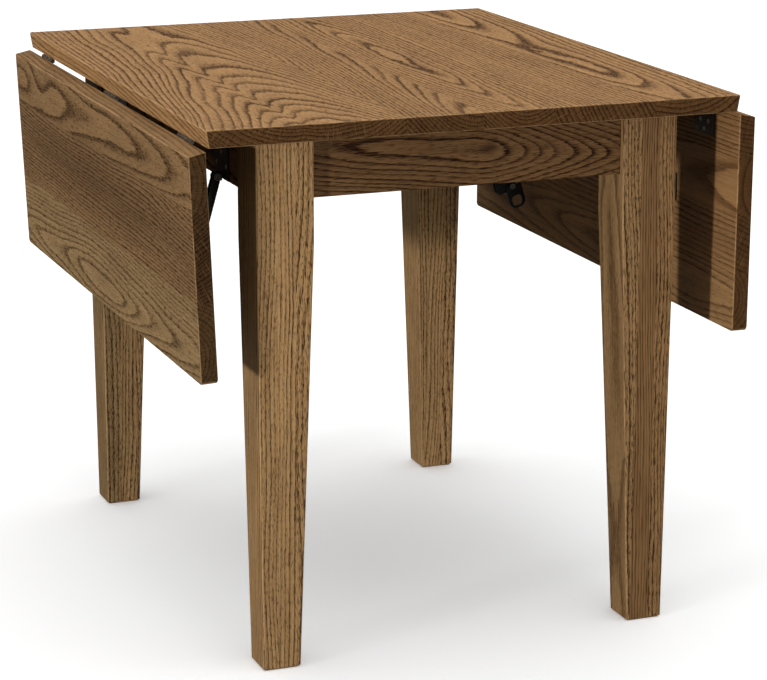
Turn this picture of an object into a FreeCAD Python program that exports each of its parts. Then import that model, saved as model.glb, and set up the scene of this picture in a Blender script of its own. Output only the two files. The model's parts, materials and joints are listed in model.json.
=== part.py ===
import FreeCAD, Part
import math
import os
import re
import Sketcher

# A pembroke table: a fixed top on four tapered legs, with a hinged leaf hanging at each long side and two
# folding steel supports under each leaf. X runs across the hinges, Y along them, Z up from the floor.
# The origin is on the floor, under the middle of the top. Lengths are in millimetres, angles in degrees.

SIZES = (
    # Top panel
    ("table_height", "755.65"),
    ("top_width", "762"),
    ("top_length", "914.4"),
    ("board_thickness", "23.8"),
    ("edge_bevel", "4.2"),
    ("arris_radius", "2.4"),
    # Leaves
    ("leaf_width", "306"),
    ("leaf_corner_radius", "7"),
    ("leaf_gap", "1"),
    ("hang_tilt_left", "2.3"),
    ("hang_tilt_right", "0.4"),
    # Legs
    ("leg_width", "80"),
    ("leg_foot_width", "54"),
    ("leg_foot_inset", "4"),
    ("leg_inset_x", "77.8"),
    ("leg_inset_y", "34.3"),
    ("leg_arris_radius", "3"),
    ("foot_bevel", "3"),
    ("taper_drop", "59"),
    # Aprons, tenons and corner braces
    ("apron_height", "83"),
    ("apron_thickness", "20"),
    ("apron_setback", "11"),
    ("tenon_thickness", "9"),
    ("tenon_length", "25"),
    ("tenon_height", "60"),
    ("tenon_fit", "0.1"),
    ("brace_depth", "28"),
    ("brace_height", "45"),
    # Screws through the braces
    ("brace_screw_radius", "2.2"),
    ("brace_screw_length", "59"),
    ("brace_screw_tip", "4"),
    ("brace_head_radius", "4.4"),
    ("brace_head_height", "3"),
    # Butt hinges
    ("hinge_share", "0.39"),
    ("hinge_length", "57"),
    ("hinge_reach", "43"),
    ("hinge_knuckle_radius", "3.2"),
    ("hinge_middle_length", "20"),
    ("hinge_pin_radius", "1.6"),
    ("knuckle_relief", "4.4"),
    ("knuckle_gap", "0.3"),
    ("pin_drop", "3.6"),
    ("plate_thickness", "2"),
    ("running_fit", "0.05"),
    # Screws in the steel plates
    ("screw_head_radius", "3.4"),
    ("screw_head_height", "1.8"),
    ("screw_radius", "1.6"),
    ("screw_length", "14"),
    ("screw_tip", "3"),
    ("screw_fit", "0.1"),
    ("screw_slot_width", "0.9"),
    ("screw_slot_depth", "0.7"),
    ("hinge_screw_near", "24"),
    ("hinge_screw_far", "36"),
    ("hinge_screw_spread", "12"),
    # Folding supports
    ("support_share", "0.27"),
    ("pivot_offset", "9.5"),
    ("pivot_rise", "3.8"),
    ("lower_arm_length", "142"),
    ("raised_angle", "10.25"),
    ("loop_clearance", "2"),
    ("leaf_pivot_drop", "11"),
    ("sheet_thickness", "1.8"),
    ("side_gap", "0.3"),
    ("channel_width", "12"),
    ("channel_depth", "11"),
    ("channel_start", "12"),
    ("channel_end", "14"),
    ("eye_radius", "6.5"),
    ("bar_thickness", "4"),
    ("bar_width", "10"),
    ("pivot_radius", "2.5"),
    ("pivot_head_radius", "5"),
    ("pivot_head_height", "1.6"),
    ("ear_radius", "6"),
    ("bracket_length", "60"),
    ("bracket_below", "3"),
    ("bracket_above", "42"),
    ("bracket_screw_low", "16"),
    ("bracket_screw_high", "33"),
    ("bracket_screw_spread", "21"),
    ("leaf_plate_half", "20"),
    ("leaf_screw_offset", "13"),
    # Slotted head of the lower arm
    ("window_shift", "1.4"),
    ("window_drop", "3"),
    ("window_length", "11.7"),
    ("window_radius", "7.3"),
    ("head_margin", "3.8"),
    ("head_corner_radius", "5"),
    # Release loops
    ("release_reach", "18.5"),
    ("release_margin", "7.5"),
    ("release_thickness", "3.6"),
    ("release_pin_radius", "2"),
    ("release_head_radius", "4.4"),
    ("release_boss_radius", "6"),
    ("loop_top", "1.5"),
    ("loop_bottom", "37"),
    ("loop_inner_side", "12"),
    ("loop_outer_side", "16"),
    ("loop_rim", "3.5"),
    ("loop_limb", "5.5"),
    ("opening_height", "17"),
    ("loop_corner_radius", "12"),
    ("loop_shoulder_radius", "4"),
    ("opening_corner_radius", "6"),
    ("stud_radius", "2.6"),
    ("stud_height", "1.2"),
    ("stud_inset", "4"),
    # One overrun serves every cut
    ("overrun", "2"),
)

DERIVED = (
    ("underside_height", "table_height - board_thickness"),
    ("pin_x", "top_width / 2 - edge_bevel + leaf_gap / 2"),
    ("pin_height", "underside_height - pin_drop"),
    ("leg_face_x", "top_width / 2 - leg_inset_x"),
    ("leg_face_y", "top_length / 2 - leg_inset_y"),
    ("apron_bottom", "underside_height - apron_height"),
    ("apron_face_x", "leg_face_x - apron_setback"),
    ("apron_face_y", "leg_face_y - apron_setback"),
    ("apron_inner", "apron_setback + apron_thickness"),
    ("tenon_start", "apron_setback + (apron_thickness - tenon_thickness) / 2"),
    ("tenon_bottom", "apron_bottom + (apron_height - tenon_height) / 2"),
    ("brace_outer", "2 * leg_width"),
    ("brace_middle", "brace_outer / 2 + brace_depth / 4"),
    ("pivot_x", "apron_face_x + pivot_offset"),
    ("pivot_height", "apron_bottom + pivot_rise"),
    ("hinge_spacing", "top_length * hinge_share"),
    ("support_spacing", "top_length * support_share"),
    ("channel_inside", "channel_width - 2 * sheet_thickness"),
    ("apron_ear_outer", "channel_inside / 2 - side_gap"),
    ("leaf_ear_inner", "bar_thickness / 2 + side_gap"),
    ("leaf_ear_outer", "leaf_ear_inner + sheet_thickness"),
    ("loop_layer", "channel_width / 2 + side_gap"),
    # The rounded end of a release loop stays clear of the leaf that hangs furthest in, which gives the
    # lower arm's lean there
    ("loop_end", "lower_arm_length + release_reach + loop_bottom - loop_corner_radius"),
    ("loop_side", "loop_outer_side - loop_corner_radius"),
    ("pivot_run", "pin_x - pivot_x"),
    ("pivot_fall", "pin_height - pivot_height"),
    ("leaf_face", "pivot_run * cos(hang_tilt_left) - pivot_fall * sin(hang_tilt_left) + pin_drop"),
    ("loop_room", "leaf_face - loop_clearance - loop_corner_radius"),
    ("loop_lean", "(asin(loop_room / hypot(loop_end; loop_side)) - atan(loop_side / loop_end)) / 1 deg"),
    ("folded_lean", "loop_lean - hang_tilt_left"),
    # Both arms of a support meet at the knee while that leaf hangs and while it is level, and these two
    # conditions give the place of the leaf's pivot and the length of the upper arm
    ("pivot_depth", "pin_drop - leaf_pivot_drop"),
    ("knee_run", "pivot_run + pivot_depth * cos(hang_tilt_left) - lower_arm_length * sin(folded_lean)"),
    ("knee_fall", "pivot_fall - pivot_depth * sin(hang_tilt_left) + lower_arm_length * cos(folded_lean)"),
    ("folded_square", "knee_run ^ 2 + knee_fall ^ 2"),
    ("folded_drop", "knee_run * sin(hang_tilt_left) + knee_fall * cos(hang_tilt_left)"),
    ("raised_run", "pivot_run - lower_arm_length * cos(raised_angle)"),
    ("raised_rise", "pivot_fall + pivot_depth - lower_arm_length * sin(raised_angle)"),
    ("raised_square", "raised_run ^ 2 + raised_rise ^ 2"),
    ("leaf_pivot_reach", "(folded_square - raised_square) / (2 * (folded_drop + raised_run))"),
    ("upper_arm_length", "hypot(raised_run + leaf_pivot_reach; raised_rise)"),
)

SIDES = {"right": 0, "left": 180}
ROWS = {"front": -1, "back": 1}
CORNERS = {"front_left": 0, "front_right": 90, "back_right": 180, "back_left": 270}
ALONG_Y = FreeCAD.Rotation(FreeCAD.Vector(1, 0, 0), -90)
UPRIGHT = FreeCAD.Rotation()
NAME = re.compile(r"[a-z][a-z_]*")
ALIGNED_SHARE = 0.95

doc = FreeCAD.newDocument("PembrokeTable")
sheet = doc.addObject("Spreadsheet::Sheet", "Sizes")
names = set()
nodes = []


def full(text):
    """Put the sheet's name before each size's name in a formula."""
    return NAME.sub(lambda word: "Sizes." + word.group() if word.group() in names else word.group(), text)


def value(text):
    """Work out a formula of sizes as a number."""
    return float(sheet.evalExpression(full(text)))


def fill_sheet():
    """Write every driving size, then every size that follows from them."""
    row = 0
    for name, number in SIZES:
        row += 1
        sheet.set("A%d" % row, name)
        sheet.set("B%d" % row, number)
        sheet.setAlias("B%d" % row, name)
        names.add(name)
    for name, formula in DERIVED:
        row += 1
        sheet.set("A%d" % row, name)
        sheet.set("B%d" % row, "=" + formula)
        sheet.setAlias("B%d" % row, name)
        names.add(name)
    doc.recompute()


def bind(thing, prop, text):
    """Let a formula of sizes drive one property."""
    thing.setExpression(prop, full(text))


def bind_base(thing, start):
    """Let three formulas drive where a primitive starts."""
    for axis, text in zip("xyz", start):
        bind(thing, "Placement.Base." + axis, text)


def block(name, size, corner):
    """A box of the given size, from its lowest corner."""
    piece = doc.addObject("Part::Box", name)
    for prop, text in zip(("Length", "Width", "Height"), size):
        bind(piece, prop, text)
    bind_base(piece, corner)
    return piece


def rod(name, radius, length, start, lean=ALONG_Y):
    """A cylinder from its start, along Y unless it leans another way."""
    piece = doc.addObject("Part::Cylinder", name)
    piece.Placement = FreeCAD.Placement(FreeCAD.Vector(), lean)
    bind(piece, "Radius", radius)
    bind(piece, "Height", length)
    bind_base(piece, start)
    return piece


def fused(name, pieces):
    """Several pieces joined into one solid."""
    joined = doc.addObject("Part::MultiFuse", name)
    joined.Shapes = pieces
    joined.Refine = True
    return joined


def carved(name, base, tools):
    """One piece with several others cut away from it."""
    result = doc.addObject("Part::Cut", name)
    result.Base = base
    result.Tool = tools[0] if len(tools) == 1 else fused(name + "Tools", tools)
    result.Refine = True
    return result


def grouped(name, pieces):
    """Several separate solids kept together."""
    group = doc.addObject("Part::Compound", name)
    group.Links = pieces
    return group


def copies(name, master, places):
    """The same solid at several places, as one group."""
    doc.recompute()
    group = doc.addObject("Part::Feature", name)
    group.Shape = Part.makeCompound([master.Shape.transformed(place.toMatrix(), True) for place in places])
    return group


def outline(body, name, plane, points):
    """A closed outline on one of the body's own planes, each corner held by two formulas."""
    sketch = body.newObject("Sketcher::SketchObject", name)
    support = [item for item in body.Origin.OriginFeatures if item.Role == plane][0]
    sketch.AttachmentSupport = [(support, "")]
    sketch.MapMode = "FlatFace"
    spots = [FreeCAD.Vector(value(across), value(up), 0) for across, up in points]
    count = len(spots)
    for index in range(count):
        sketch.addGeometry(Part.LineSegment(spots[index], spots[(index + 1) % count]), False)
    for index in range(count):
        sketch.addConstraint(Sketcher.Constraint("Coincident", index, 2, (index + 1) % count, 1))
    for index, (across, up) in enumerate(points):
        hold(sketch, "DistanceX", index, across, -2)
        hold(sketch, "DistanceY", index, up, -1)
    return sketch


def hold(sketch, kind, index, text, axis):
    """Fix one coordinate of an outline's corner."""
    if text == "0":
        sketch.addConstraint(Sketcher.Constraint("PointOnObject", index, 1, axis))
        return
    place = sketch.addConstraint(Sketcher.Constraint(kind, -1, 1, index, 1, value(text)))
    bind(sketch, "Constraints[%d]" % place, text)


def padded(name, plane, points, length, symmetric=True):
    """A body whose outline is drawn out, to both sides or to one."""
    body = doc.addObject("PartDesign::Body", name)
    sketch = outline(body, name + "Outline", plane, points)
    pad = body.newObject("PartDesign::Pad", name + "Pad")
    pad.Profile = sketch
    pad.SideType = "Symmetric" if symmetric else "One side"
    bind(pad, "Length", length)
    return body


def turned(name, points):
    """A body whose outline is turned about the Z axis."""
    body = doc.addObject("PartDesign::Body", name)
    sketch = outline(body, name + "Outline", "XZ_Plane", points)
    turn = body.newObject("PartDesign::Revolution", name + "Turn")
    turn.Profile = sketch
    turn.ReferenceAxis = (sketch, ["V_Axis"])
    return body


def softened(body, kind, name, size, chosen):
    """Round or bevel the edges that a test picks."""
    doc.recompute()
    last = body.Tip
    picked = ["Edge%d" % (place + 1) for place, edge in enumerate(last.Shape.Edges) if chosen(edge)]
    feature = body.newObject("PartDesign::" + kind, name)
    feature.Base = (last, picked)
    bind(feature, "Radius" if kind == "Fillet" else "Size", size)


def runs_along(edge, axis):
    """Tell whether an edge is straight and runs mostly along an axis."""
    start = edge.Vertexes[0].Point
    end = edge.Vertexes[-1].Point
    way = end - start
    return way.Length > 0 and abs(way.dot(axis)) > way.Length * ALIGNED_SHARE


def level(edge, height):
    """Tell whether a whole edge lies at one height."""
    return all(abs(corner.Z - height) < Part.Precision.confusion() for corner in edge.Vertexes)


def at(x, y, z):
    """A plain shift."""
    return FreeCAD.Placement(FreeCAD.Vector(x, y, z), FreeCAD.Rotation())


def turn_z(angle):
    """A turn about the Z axis."""
    return FreeCAD.Placement(FreeCAD.Vector(), FreeCAD.Rotation(FreeCAD.Vector(0, 0, 1), angle))


def turn_y(angle):
    """A turn about the Y axis."""
    return FreeCAD.Placement(FreeCAD.Vector(), FreeCAD.Rotation(FreeCAD.Vector(0, 1, 0), angle))


def node(piece, label, place=FreeCAD.Placement()):
    """Name a finished piece and put it in its place."""
    piece.Label = label
    piece.Placement = place
    nodes.append(piece)
    return piece


def leaf_place(side):
    """Where a hanging leaf's own frame is: its origin is on the hinge pin, its X runs to the free edge."""
    swing = turn_y(90 + value("hang_tilt_" + side))
    return turn_z(SIDES[side]) * at(value("pin_x"), 0, value("pin_height")) * swing


def side_row(side, row):
    """How far along Y a front or back support is, in its side's own frame."""
    facing = 1 if side == "right" else -1
    return ROWS[row] * facing * value("support_spacing")


def support_rest(side):
    """Angles of both arms while the leaf hangs, from the triangle of their three pivots."""
    tilt = math.radians(90 + value("hang_tilt_" + side))
    reach = value("leaf_pivot_reach")
    drop = value("pin_drop - leaf_pivot_drop")
    lower = value("lower_arm_length")
    upper = value("upper_arm_length")
    leaf_x = value("pin_x") + reach * math.cos(tilt) + drop * math.sin(tilt)
    leaf_z = value("pin_height") - reach * math.sin(tilt) + drop * math.cos(tilt)
    away_x = leaf_x - value("pivot_x")
    away_z = leaf_z - value("pivot_height")
    apart = math.hypot(away_x, away_z)
    opening = math.acos((lower ** 2 + apart ** 2 - upper ** 2) / (2 * lower * apart))
    lower_angle = math.atan2(away_z, away_x) - opening
    knee_x = value("pivot_x") + lower * math.cos(lower_angle)
    knee_z = value("pivot_height") + lower * math.sin(lower_angle)
    upper_angle = math.atan2(knee_z - leaf_z, knee_x - leaf_x)
    return math.degrees(lower_angle), math.degrees(upper_angle), leaf_x, leaf_z


def lower_place(side, row):
    """Where a lower arm's own frame is: its origin is on the apron pivot, its X runs to the knee."""
    angle = support_rest(side)[0]
    pivot = at(value("pivot_x"), side_row(side, row), value("pivot_height"))
    return turn_z(SIDES[side]) * pivot * turn_y(-angle)


def upper_place(side, row):
    """Where an upper arm's own frame is: its origin is on the leaf pivot, its X runs to the knee."""
    angle, leaf_x, leaf_z = support_rest(side)[1:]
    return turn_z(SIDES[side]) * at(leaf_x, side_row(side, row), leaf_z) * turn_y(-angle)


def hinge_rows():
    """The middle of each hinge along Y."""
    return {"front": -value("hinge_spacing"), "middle": 0, "back": value("hinge_spacing")}


def hinge_screw_spots():
    """Distance from the pin, and along it, of the three screws of a hinge plate."""
    spread = value("hinge_screw_spread")
    near = value("hinge_screw_near")
    return ((near, -spread), (near, spread), (value("hinge_screw_far"), 0))


def bracket_screw_spots():
    """Height above the pivot, and distance along Y, of the three screws of an apron bracket."""
    spread = value("bracket_screw_spread")
    low = value("bracket_screw_low")
    return ((low, -spread), (low, spread), (value("bracket_screw_high"), 0))


def leaf_screw_spots():
    """Distance from the leaf pivot across the leaf, and along Y, of the three screws of a leaf bracket."""
    spread = value("bracket_screw_spread")
    offset = value("leaf_screw_offset")
    return ((-offset, -spread), (-offset, spread), (offset, 0))


def top_hinge_screws():
    """Places of the screws that hold the hinges of either side to the top, in that side's frame."""
    height = value("pin_height + pin_drop - plate_thickness")
    places = []
    for middle in hinge_rows().values():
        for away, along in hinge_screw_spots():
            places.append(at(value("pin_x") - away, middle + along, height))
    return places


def leaf_screws(side):
    """Places of the screws in one leaf, in the leaf's own frame."""
    depth = value("pin_drop - plate_thickness")
    places = []
    for middle in hinge_rows().values():
        for away, along in hinge_screw_spots():
            places.append(at(away, middle + along, depth))
    for row in ROWS:
        for across, along in leaf_screw_spots():
            places.append(at(value("leaf_pivot_reach") + across, side_row(side, row) + along, depth))
    return places


def apron_screws(side):
    """Places of the screws that hold the brackets to one side apron, in that side's frame."""
    face = value("apron_face_x + plate_thickness")
    places = []
    for row in ROWS:
        for up, along in bracket_screw_spots():
            spot = at(face, side_row(side, row) + along, value("pivot_height") + up)
            places.append(spot * turn_y(-90))
    return places


def brace_screws():
    """Places of the screws that go up through the corner braces."""
    middle = value("brace_middle")
    height = value("underside_height - brace_height")
    places = []
    for angle in CORNERS.values():
        places.append(corner_place(angle) * at(middle, middle, height))
    return places


def corner_place(angle):
    """Where a leg's own frame is: its origin is at the leg's outer corner, both axes run inward."""
    outward = {0: (-1, -1), 90: (1, -1), 180: (1, 1), 270: (-1, 1)}[angle]
    corner = at(outward[0] * value("leg_face_x"), outward[1] * value("leg_face_y"), 0)
    return corner * turn_z(angle)


def screw_masters():
    """The plate screw, the brace screw, and the holes that take them."""
    plate_screw = turned("PlateScrewBlank", (
        ("0", "0"),
        ("screw_head_radius", "0"),
        ("screw_radius", "screw_head_height"),
        ("screw_radius", "screw_length - screw_tip"),
        ("0", "screw_length"),
    ))
    slot = block(
        "PlateScrewSlot",
        ("2 * screw_head_radius + 2 * overrun", "screw_slot_width", "screw_slot_depth + overrun"),
        ("-screw_head_radius - overrun", "-screw_slot_width / 2", "-overrun"),
    )
    brace_screw = turned("BraceScrew", (
        ("0", "-brace_head_height"),
        ("brace_head_radius", "-brace_head_height"),
        ("brace_head_radius", "0"),
        ("brace_screw_radius", "0"),
        ("brace_screw_radius", "brace_screw_length - brace_screw_tip"),
        ("0", "brace_screw_length"),
    ))
    sink = turned("PlateSink", (
        ("0", "-overrun"),
        ("screw_head_radius + screw_fit", "-overrun"),
        ("screw_head_radius + screw_fit", "0"),
        ("screw_radius + screw_fit", "screw_head_height"),
        ("screw_radius + screw_fit", "plate_thickness + overrun"),
        ("0", "plate_thickness + overrun"),
    ))
    return {
        "screw": carved("PlateScrew", plate_screw, [slot]),
        "brace_screw": brace_screw,
        "sink": sink,
        "pilot": rod(
            "PlatePilot",
            "screw_radius + running_fit",
            "screw_length + running_fit",
            ("0", "0", "0"),
            UPRIGHT,
        ),
        "brace_pilot": rod(
            "BracePilot",
            "brace_screw_radius + running_fit",
            "brace_screw_length + running_fit",
            ("0", "0", "0"),
            UPRIGHT,
        ),
    }


def make_top(masters):
    """The fixed top: undercut along both hinge edges so that the leaves' bevels meet it."""
    half = "top_width / 2"
    board = padded("TopBoard", "XZ_Plane", (
        ("-" + half, "table_height"),
        (half, "table_height"),
        (half + " - edge_bevel", "underside_height"),
        ("-" + half + " + edge_bevel", "underside_height"),
    ), "top_length")
    along = FreeCAD.Vector(0, 1, 0)
    low = value("underside_height")
    softened(
        board, "Fillet", "TopArris", "arris_radius",
        lambda edge: not (runs_along(edge, along) and level(edge, low)),
    )
    pilots = [copies("TopBracePilots", masters["brace_pilot"], brace_screws())]
    for side, angle in SIDES.items():
        places = [turn_z(angle) * place for place in top_hinge_screws()]
        pilots.append(copies("TopPilots" + side, masters["pilot"], places))
    node(carved("Top", board, pilots), "top_panel")


def make_leaf(side, masters):
    """A leaf: bevelled along the hinge, rounded at its two free corners."""
    top = "pin_drop + board_thickness"
    board = padded("LeafBoard" + side, "XZ_Plane", (
        ("leaf_gap / 2", "pin_drop"),
        ("leaf_width", "pin_drop"),
        ("leaf_width", top),
        ("leaf_gap / 2 + edge_bevel", top),
    ), "top_length")
    upward = FreeCAD.Vector(0, 0, 1)
    along = FreeCAD.Vector(0, 1, 0)
    low = value("pin_drop")
    free = value("leaf_width")
    softened(
        board, "Fillet", "LeafCorner" + side, "leaf_corner_radius",
        lambda edge: runs_along(edge, upward) and edge.CenterOfMass.x > free / 2,
    )
    softened(
        board, "Fillet", "LeafArris" + side, "arris_radius",
        lambda edge: not runs_along(edge, upward) and not (
            runs_along(edge, along) and level(edge, low) and edge.CenterOfMass.x < free / 2),
    )
    pilots = copies("LeafPilots" + side, masters["pilot"], leaf_screws(side))
    node(carved("Leaf" + side, board, [pilots]), "leaf_" + side, leaf_place(side))


def leg_section(body, name, height, start, end):
    """A square across the leg with rounded corners, at one height."""
    sketch = body.newObject("Sketcher::SketchObject", name)
    support = [item for item in body.Origin.OriginFeatures if item.Role == "XY_Plane"][0]
    sketch.AttachmentSupport = [(support, "")]
    sketch.MapMode = "FlatFace"
    bind(sketch, "AttachmentOffset.Base.z", height)
    low = value(start)
    high = value(end)
    round_by = value("leg_arris_radius")
    spots = ((low, low), (high, low), (high, high), (low, high))
    ways = ((1, 0), (0, 1), (-1, 0), (0, -1))
    for index in range(4):
        first = FreeCAD.Vector(spots[index][0], spots[index][1], 0)
        last = FreeCAD.Vector(spots[(index + 1) % 4][0], spots[(index + 1) % 4][1], 0)
        way = FreeCAD.Vector(ways[index][0], ways[index][1], 0) * round_by
        sketch.addGeometry(Part.LineSegment(first + way, last - way), False)
    for index in range(4):
        way = FreeCAD.Vector(ways[index][0], ways[index][1], 0)
        after = FreeCAD.Vector(ways[(index + 1) % 4][0], ways[(index + 1) % 4][1], 0)
        corner = FreeCAD.Vector(spots[(index + 1) % 4][0], spots[(index + 1) % 4][1], 0)
        middle = corner + (after - way) * round_by
        circle = Part.Circle(middle, FreeCAD.Vector(0, 0, 1), round_by)
        begin = math.radians(90 * index - 90)
        sketch.addGeometry(Part.ArcOfCircle(circle, begin, begin + math.radians(90)), False)
    for index in range(4):
        sketch.addConstraint(Sketcher.Constraint("Tangent", index, 2, 4 + index, 1))
        sketch.addConstraint(Sketcher.Constraint("Tangent", 4 + index, 2, (index + 1) % 4, 1))
        sketch.addConstraint(Sketcher.Constraint("Vertical" if index % 2 else "Horizontal", index))
    for index in range(1, 4):
        sketch.addConstraint(Sketcher.Constraint("Equal", 4, 4 + index))
    place = sketch.addConstraint(Sketcher.Constraint("Radius", 4, round_by))
    bind(sketch, "Constraints[%d]" % place, "leg_arris_radius")
    hold(sketch, "DistanceY", 0, start, -1)
    hold(sketch, "DistanceX", 1, end, -2)
    hold(sketch, "DistanceY", 2, end, -1)
    hold(sketch, "DistanceX", 3, start, -2)
    return sketch


def make_leg(corner, angle):
    """A leg: square at its head, tapered most on its inner faces, with a mortise for each apron."""
    leg = doc.addObject("PartDesign::Body", "LegBlank" + corner)
    outer = "leg_foot_inset"
    far = "leg_foot_inset + leg_foot_width"
    foot = leg_section(leg, "LegFoot" + corner, "0", outer + " + foot_bevel", far + " - foot_bevel")
    sections = [
        leg_section(leg, "LegAnkle" + corner, "foot_bevel", outer, far),
        leg_section(leg, "LegKnee" + corner, "apron_bottom - taper_drop", "0", "leg_width"),
        leg_section(leg, "LegTop" + corner, "underside_height", "0", "leg_width"),
    ]
    loft = leg.newObject("PartDesign::AdditiveLoft", "LegLoft" + corner)
    loft.Profile = foot
    loft.Sections = sections
    loft.Ruled = True
    thick = "tenon_thickness + 2 * tenon_fit"
    deep = "tenon_length + tenon_fit + overrun"
    tall = "tenon_height + 2 * tenon_fit"
    inner = "leg_width - tenon_length - tenon_fit"
    start = "tenon_start - tenon_fit"
    bottom = "tenon_bottom - tenon_fit"
    mortises = [
        block("MortiseX" + corner, (deep, thick, tall), (inner, start, bottom)),
        block("MortiseY" + corner, (thick, deep, tall), (start, inner, bottom)),
    ]
    node(carved("Leg" + corner, leg, mortises), "leg_" + corner, corner_place(angle))


def make_end_apron(row, angle):
    """The front or back apron, drawn at the front with a tenon at both ends."""
    length = "2 * (leg_face_x - leg_width)"
    board = block(
        "ApronBoard" + row,
        (length, "apron_thickness", "apron_height"),
        ("-leg_face_x + leg_width", "-apron_face_y", "apron_bottom"),
    )
    tenon = block(
        "ApronTenon" + row,
        (length + " + 2 * tenon_length", "tenon_thickness", "tenon_height"),
        ("-leg_face_x + leg_width - tenon_length", "-leg_face_y + tenon_start", "tenon_bottom"),
    )
    node(fused("Apron" + row, [board, tenon]), "apron_" + row, turn_z(angle))


def make_side_apron(side, masters):
    """The left or right apron, drawn at the right, with pilot holes for the brackets."""
    length = "2 * (leg_face_y - leg_width)"
    board = block(
        "ApronBoard" + side,
        ("apron_thickness", length, "apron_height"),
        ("apron_face_x - apron_thickness", "-leg_face_y + leg_width", "apron_bottom"),
    )
    inner = "leg_face_x - tenon_start - tenon_thickness"
    tenon = block(
        "ApronTenon" + side,
        ("tenon_thickness", length + " + 2 * tenon_length", "tenon_height"),
        (inner, "-leg_face_y + leg_width - tenon_length", "tenon_bottom"),
    )
    blank = fused("ApronBlank" + side, [board, tenon])
    pilots = copies("ApronPilots" + side, masters["pilot"], apron_screws(side))
    node(carved("Apron" + side, blank, [pilots]), "apron_" + side, turn_z(SIDES[side]))


def make_braces(masters):
    """The four corner braces, mitred between the aprons, and the screws up through them."""
    braces = []
    for corner, angle in CORNERS.items():
        brace = padded("BraceBlank" + corner, "XY_Plane", (
            ("brace_outer - apron_inner", "apron_inner"),
            ("brace_outer + brace_depth - apron_inner", "apron_inner"),
            ("apron_inner", "brace_outer + brace_depth - apron_inner"),
            ("apron_inner", "brace_outer - apron_inner"),
        ), "brace_height", False)
        hole = rod(
            "BraceHole" + corner,
            "brace_screw_radius + running_fit",
            "brace_height + 2 * overrun",
            ("brace_middle", "brace_middle", "-overrun"),
            UPRIGHT,
        )
        bored = carved("Brace" + corner, brace, [hole])
        bored.Placement = corner_place(angle) * at(0, 0, value("underside_height - brace_height"))
        braces.append(bored)
    node(grouped("Braces", braces), "corner_braces")
    node(copies("BraceScrews", masters["brace_screw"], brace_screws()), "brace_screws")


def hinge_knuckle(name, length, start, sign):
    """A knuckle with the tab that joins it to its plate, on the side that the sign gives."""
    corner = "-knuckle_relief" if sign < 0 else "0"
    barrel = rod(name + "Barrel", "hinge_knuckle_radius", length, ("0", start, "0"))
    tab = block(
        name + "Tab",
        ("knuckle_relief", length, "plate_thickness"),
        (corner, start, "pin_drop - plate_thickness"),
    )
    return [barrel, tab]


def hinge_plate(name, sign, knuckles, masters):
    """One plate of a butt hinge, with its knuckles bored for the pin and its holes sunk for screws."""
    near = "-hinge_reach" if sign < 0 else "knuckle_relief"
    plate = block(
        name + "Plate",
        ("hinge_reach - knuckle_relief", "hinge_length", "plate_thickness"),
        (near, "-hinge_length / 2", "pin_drop - plate_thickness"),
    )
    bore = rod(
        name + "Bore",
        "hinge_pin_radius + running_fit",
        "hinge_length + 2 * overrun",
        ("0", "-hinge_length / 2 - overrun", "0"),
    )
    depth = value("pin_drop - plate_thickness")
    places = [at(sign * away, along, depth) for away, along in hinge_screw_spots()]
    sinks = copies(name + "Sinks", masters["sink"], places)
    return carved(name, fused(name + "Blank", [plate] + knuckles), [bore, sinks])


def make_hinges(side, masters):
    """The three butt hinges of one leaf: a plate under the top and a plate on the leaf for each."""
    outer = "(hinge_length - hinge_middle_length) / 2 - knuckle_gap"
    for row, middle in hinge_rows().items():
        name = "HingeTop" + side + row
        knuckles = hinge_knuckle(name + "A", outer, "-hinge_length / 2", -1)
        knuckles += hinge_knuckle(name + "B", outer, "hinge_middle_length / 2 + knuckle_gap", -1)
        upper = hinge_plate(name, -1, knuckles, masters)
        facing = 1 if side == "right" else -1
        place = turn_z(SIDES[side]) * at(value("pin_x"), facing * middle, value("pin_height"))
        node(upper, "hinge_plate_top_%s_%s" % (side, row), place)
        name = "HingeLeaf" + side + row
        knuckles = hinge_knuckle(name, "hinge_middle_length", "-hinge_middle_length / 2", 1)
        lower = hinge_plate(name, 1, knuckles, masters)
        node(lower, "hinge_plate_leaf_%s_%s" % (side, row), leaf_place(side) * at(0, facing * middle, 0))


def make_hinge_pins():
    """All six hinge pins."""
    pins = []
    for side, angle in SIDES.items():
        for row, middle in hinge_rows().items():
            start = ("0", "-hinge_length / 2", "0")
            pin = rod("HingePin" + side + row, "hinge_pin_radius", "hinge_length", start)
            carrier = grouped("HingePinPlace" + side + row, [pin])
            carrier.Placement = turn_z(angle) * at(value("pin_x"), middle, value("pin_height"))
            pins.append(carrier)
    node(grouped("HingePins", pins), "hinge_pins")


def headed_pin(name, reach):
    """A rivet along Y with a round head beyond its reach at both ends."""
    back = "-(%s)" % reach
    behind = back + " - pivot_head_height"
    return fused(name, [
        rod(name + "Stem", "pivot_radius", "2 * (%s)" % reach, ("0", back, "0")),
        rod(name + "HeadA", "pivot_head_radius", "pivot_head_height", ("0", reach, "0")),
        rod(name + "HeadB", "pivot_head_radius", "pivot_head_height", ("0", behind, "0")),
    ])


def pin_hole(name, x, z):
    """A bore along Y for a pivot."""
    return rod(
        name,
        "pivot_radius + running_fit",
        "bracket_length",
        (x, "-bracket_length / 2", z),
    )


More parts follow.
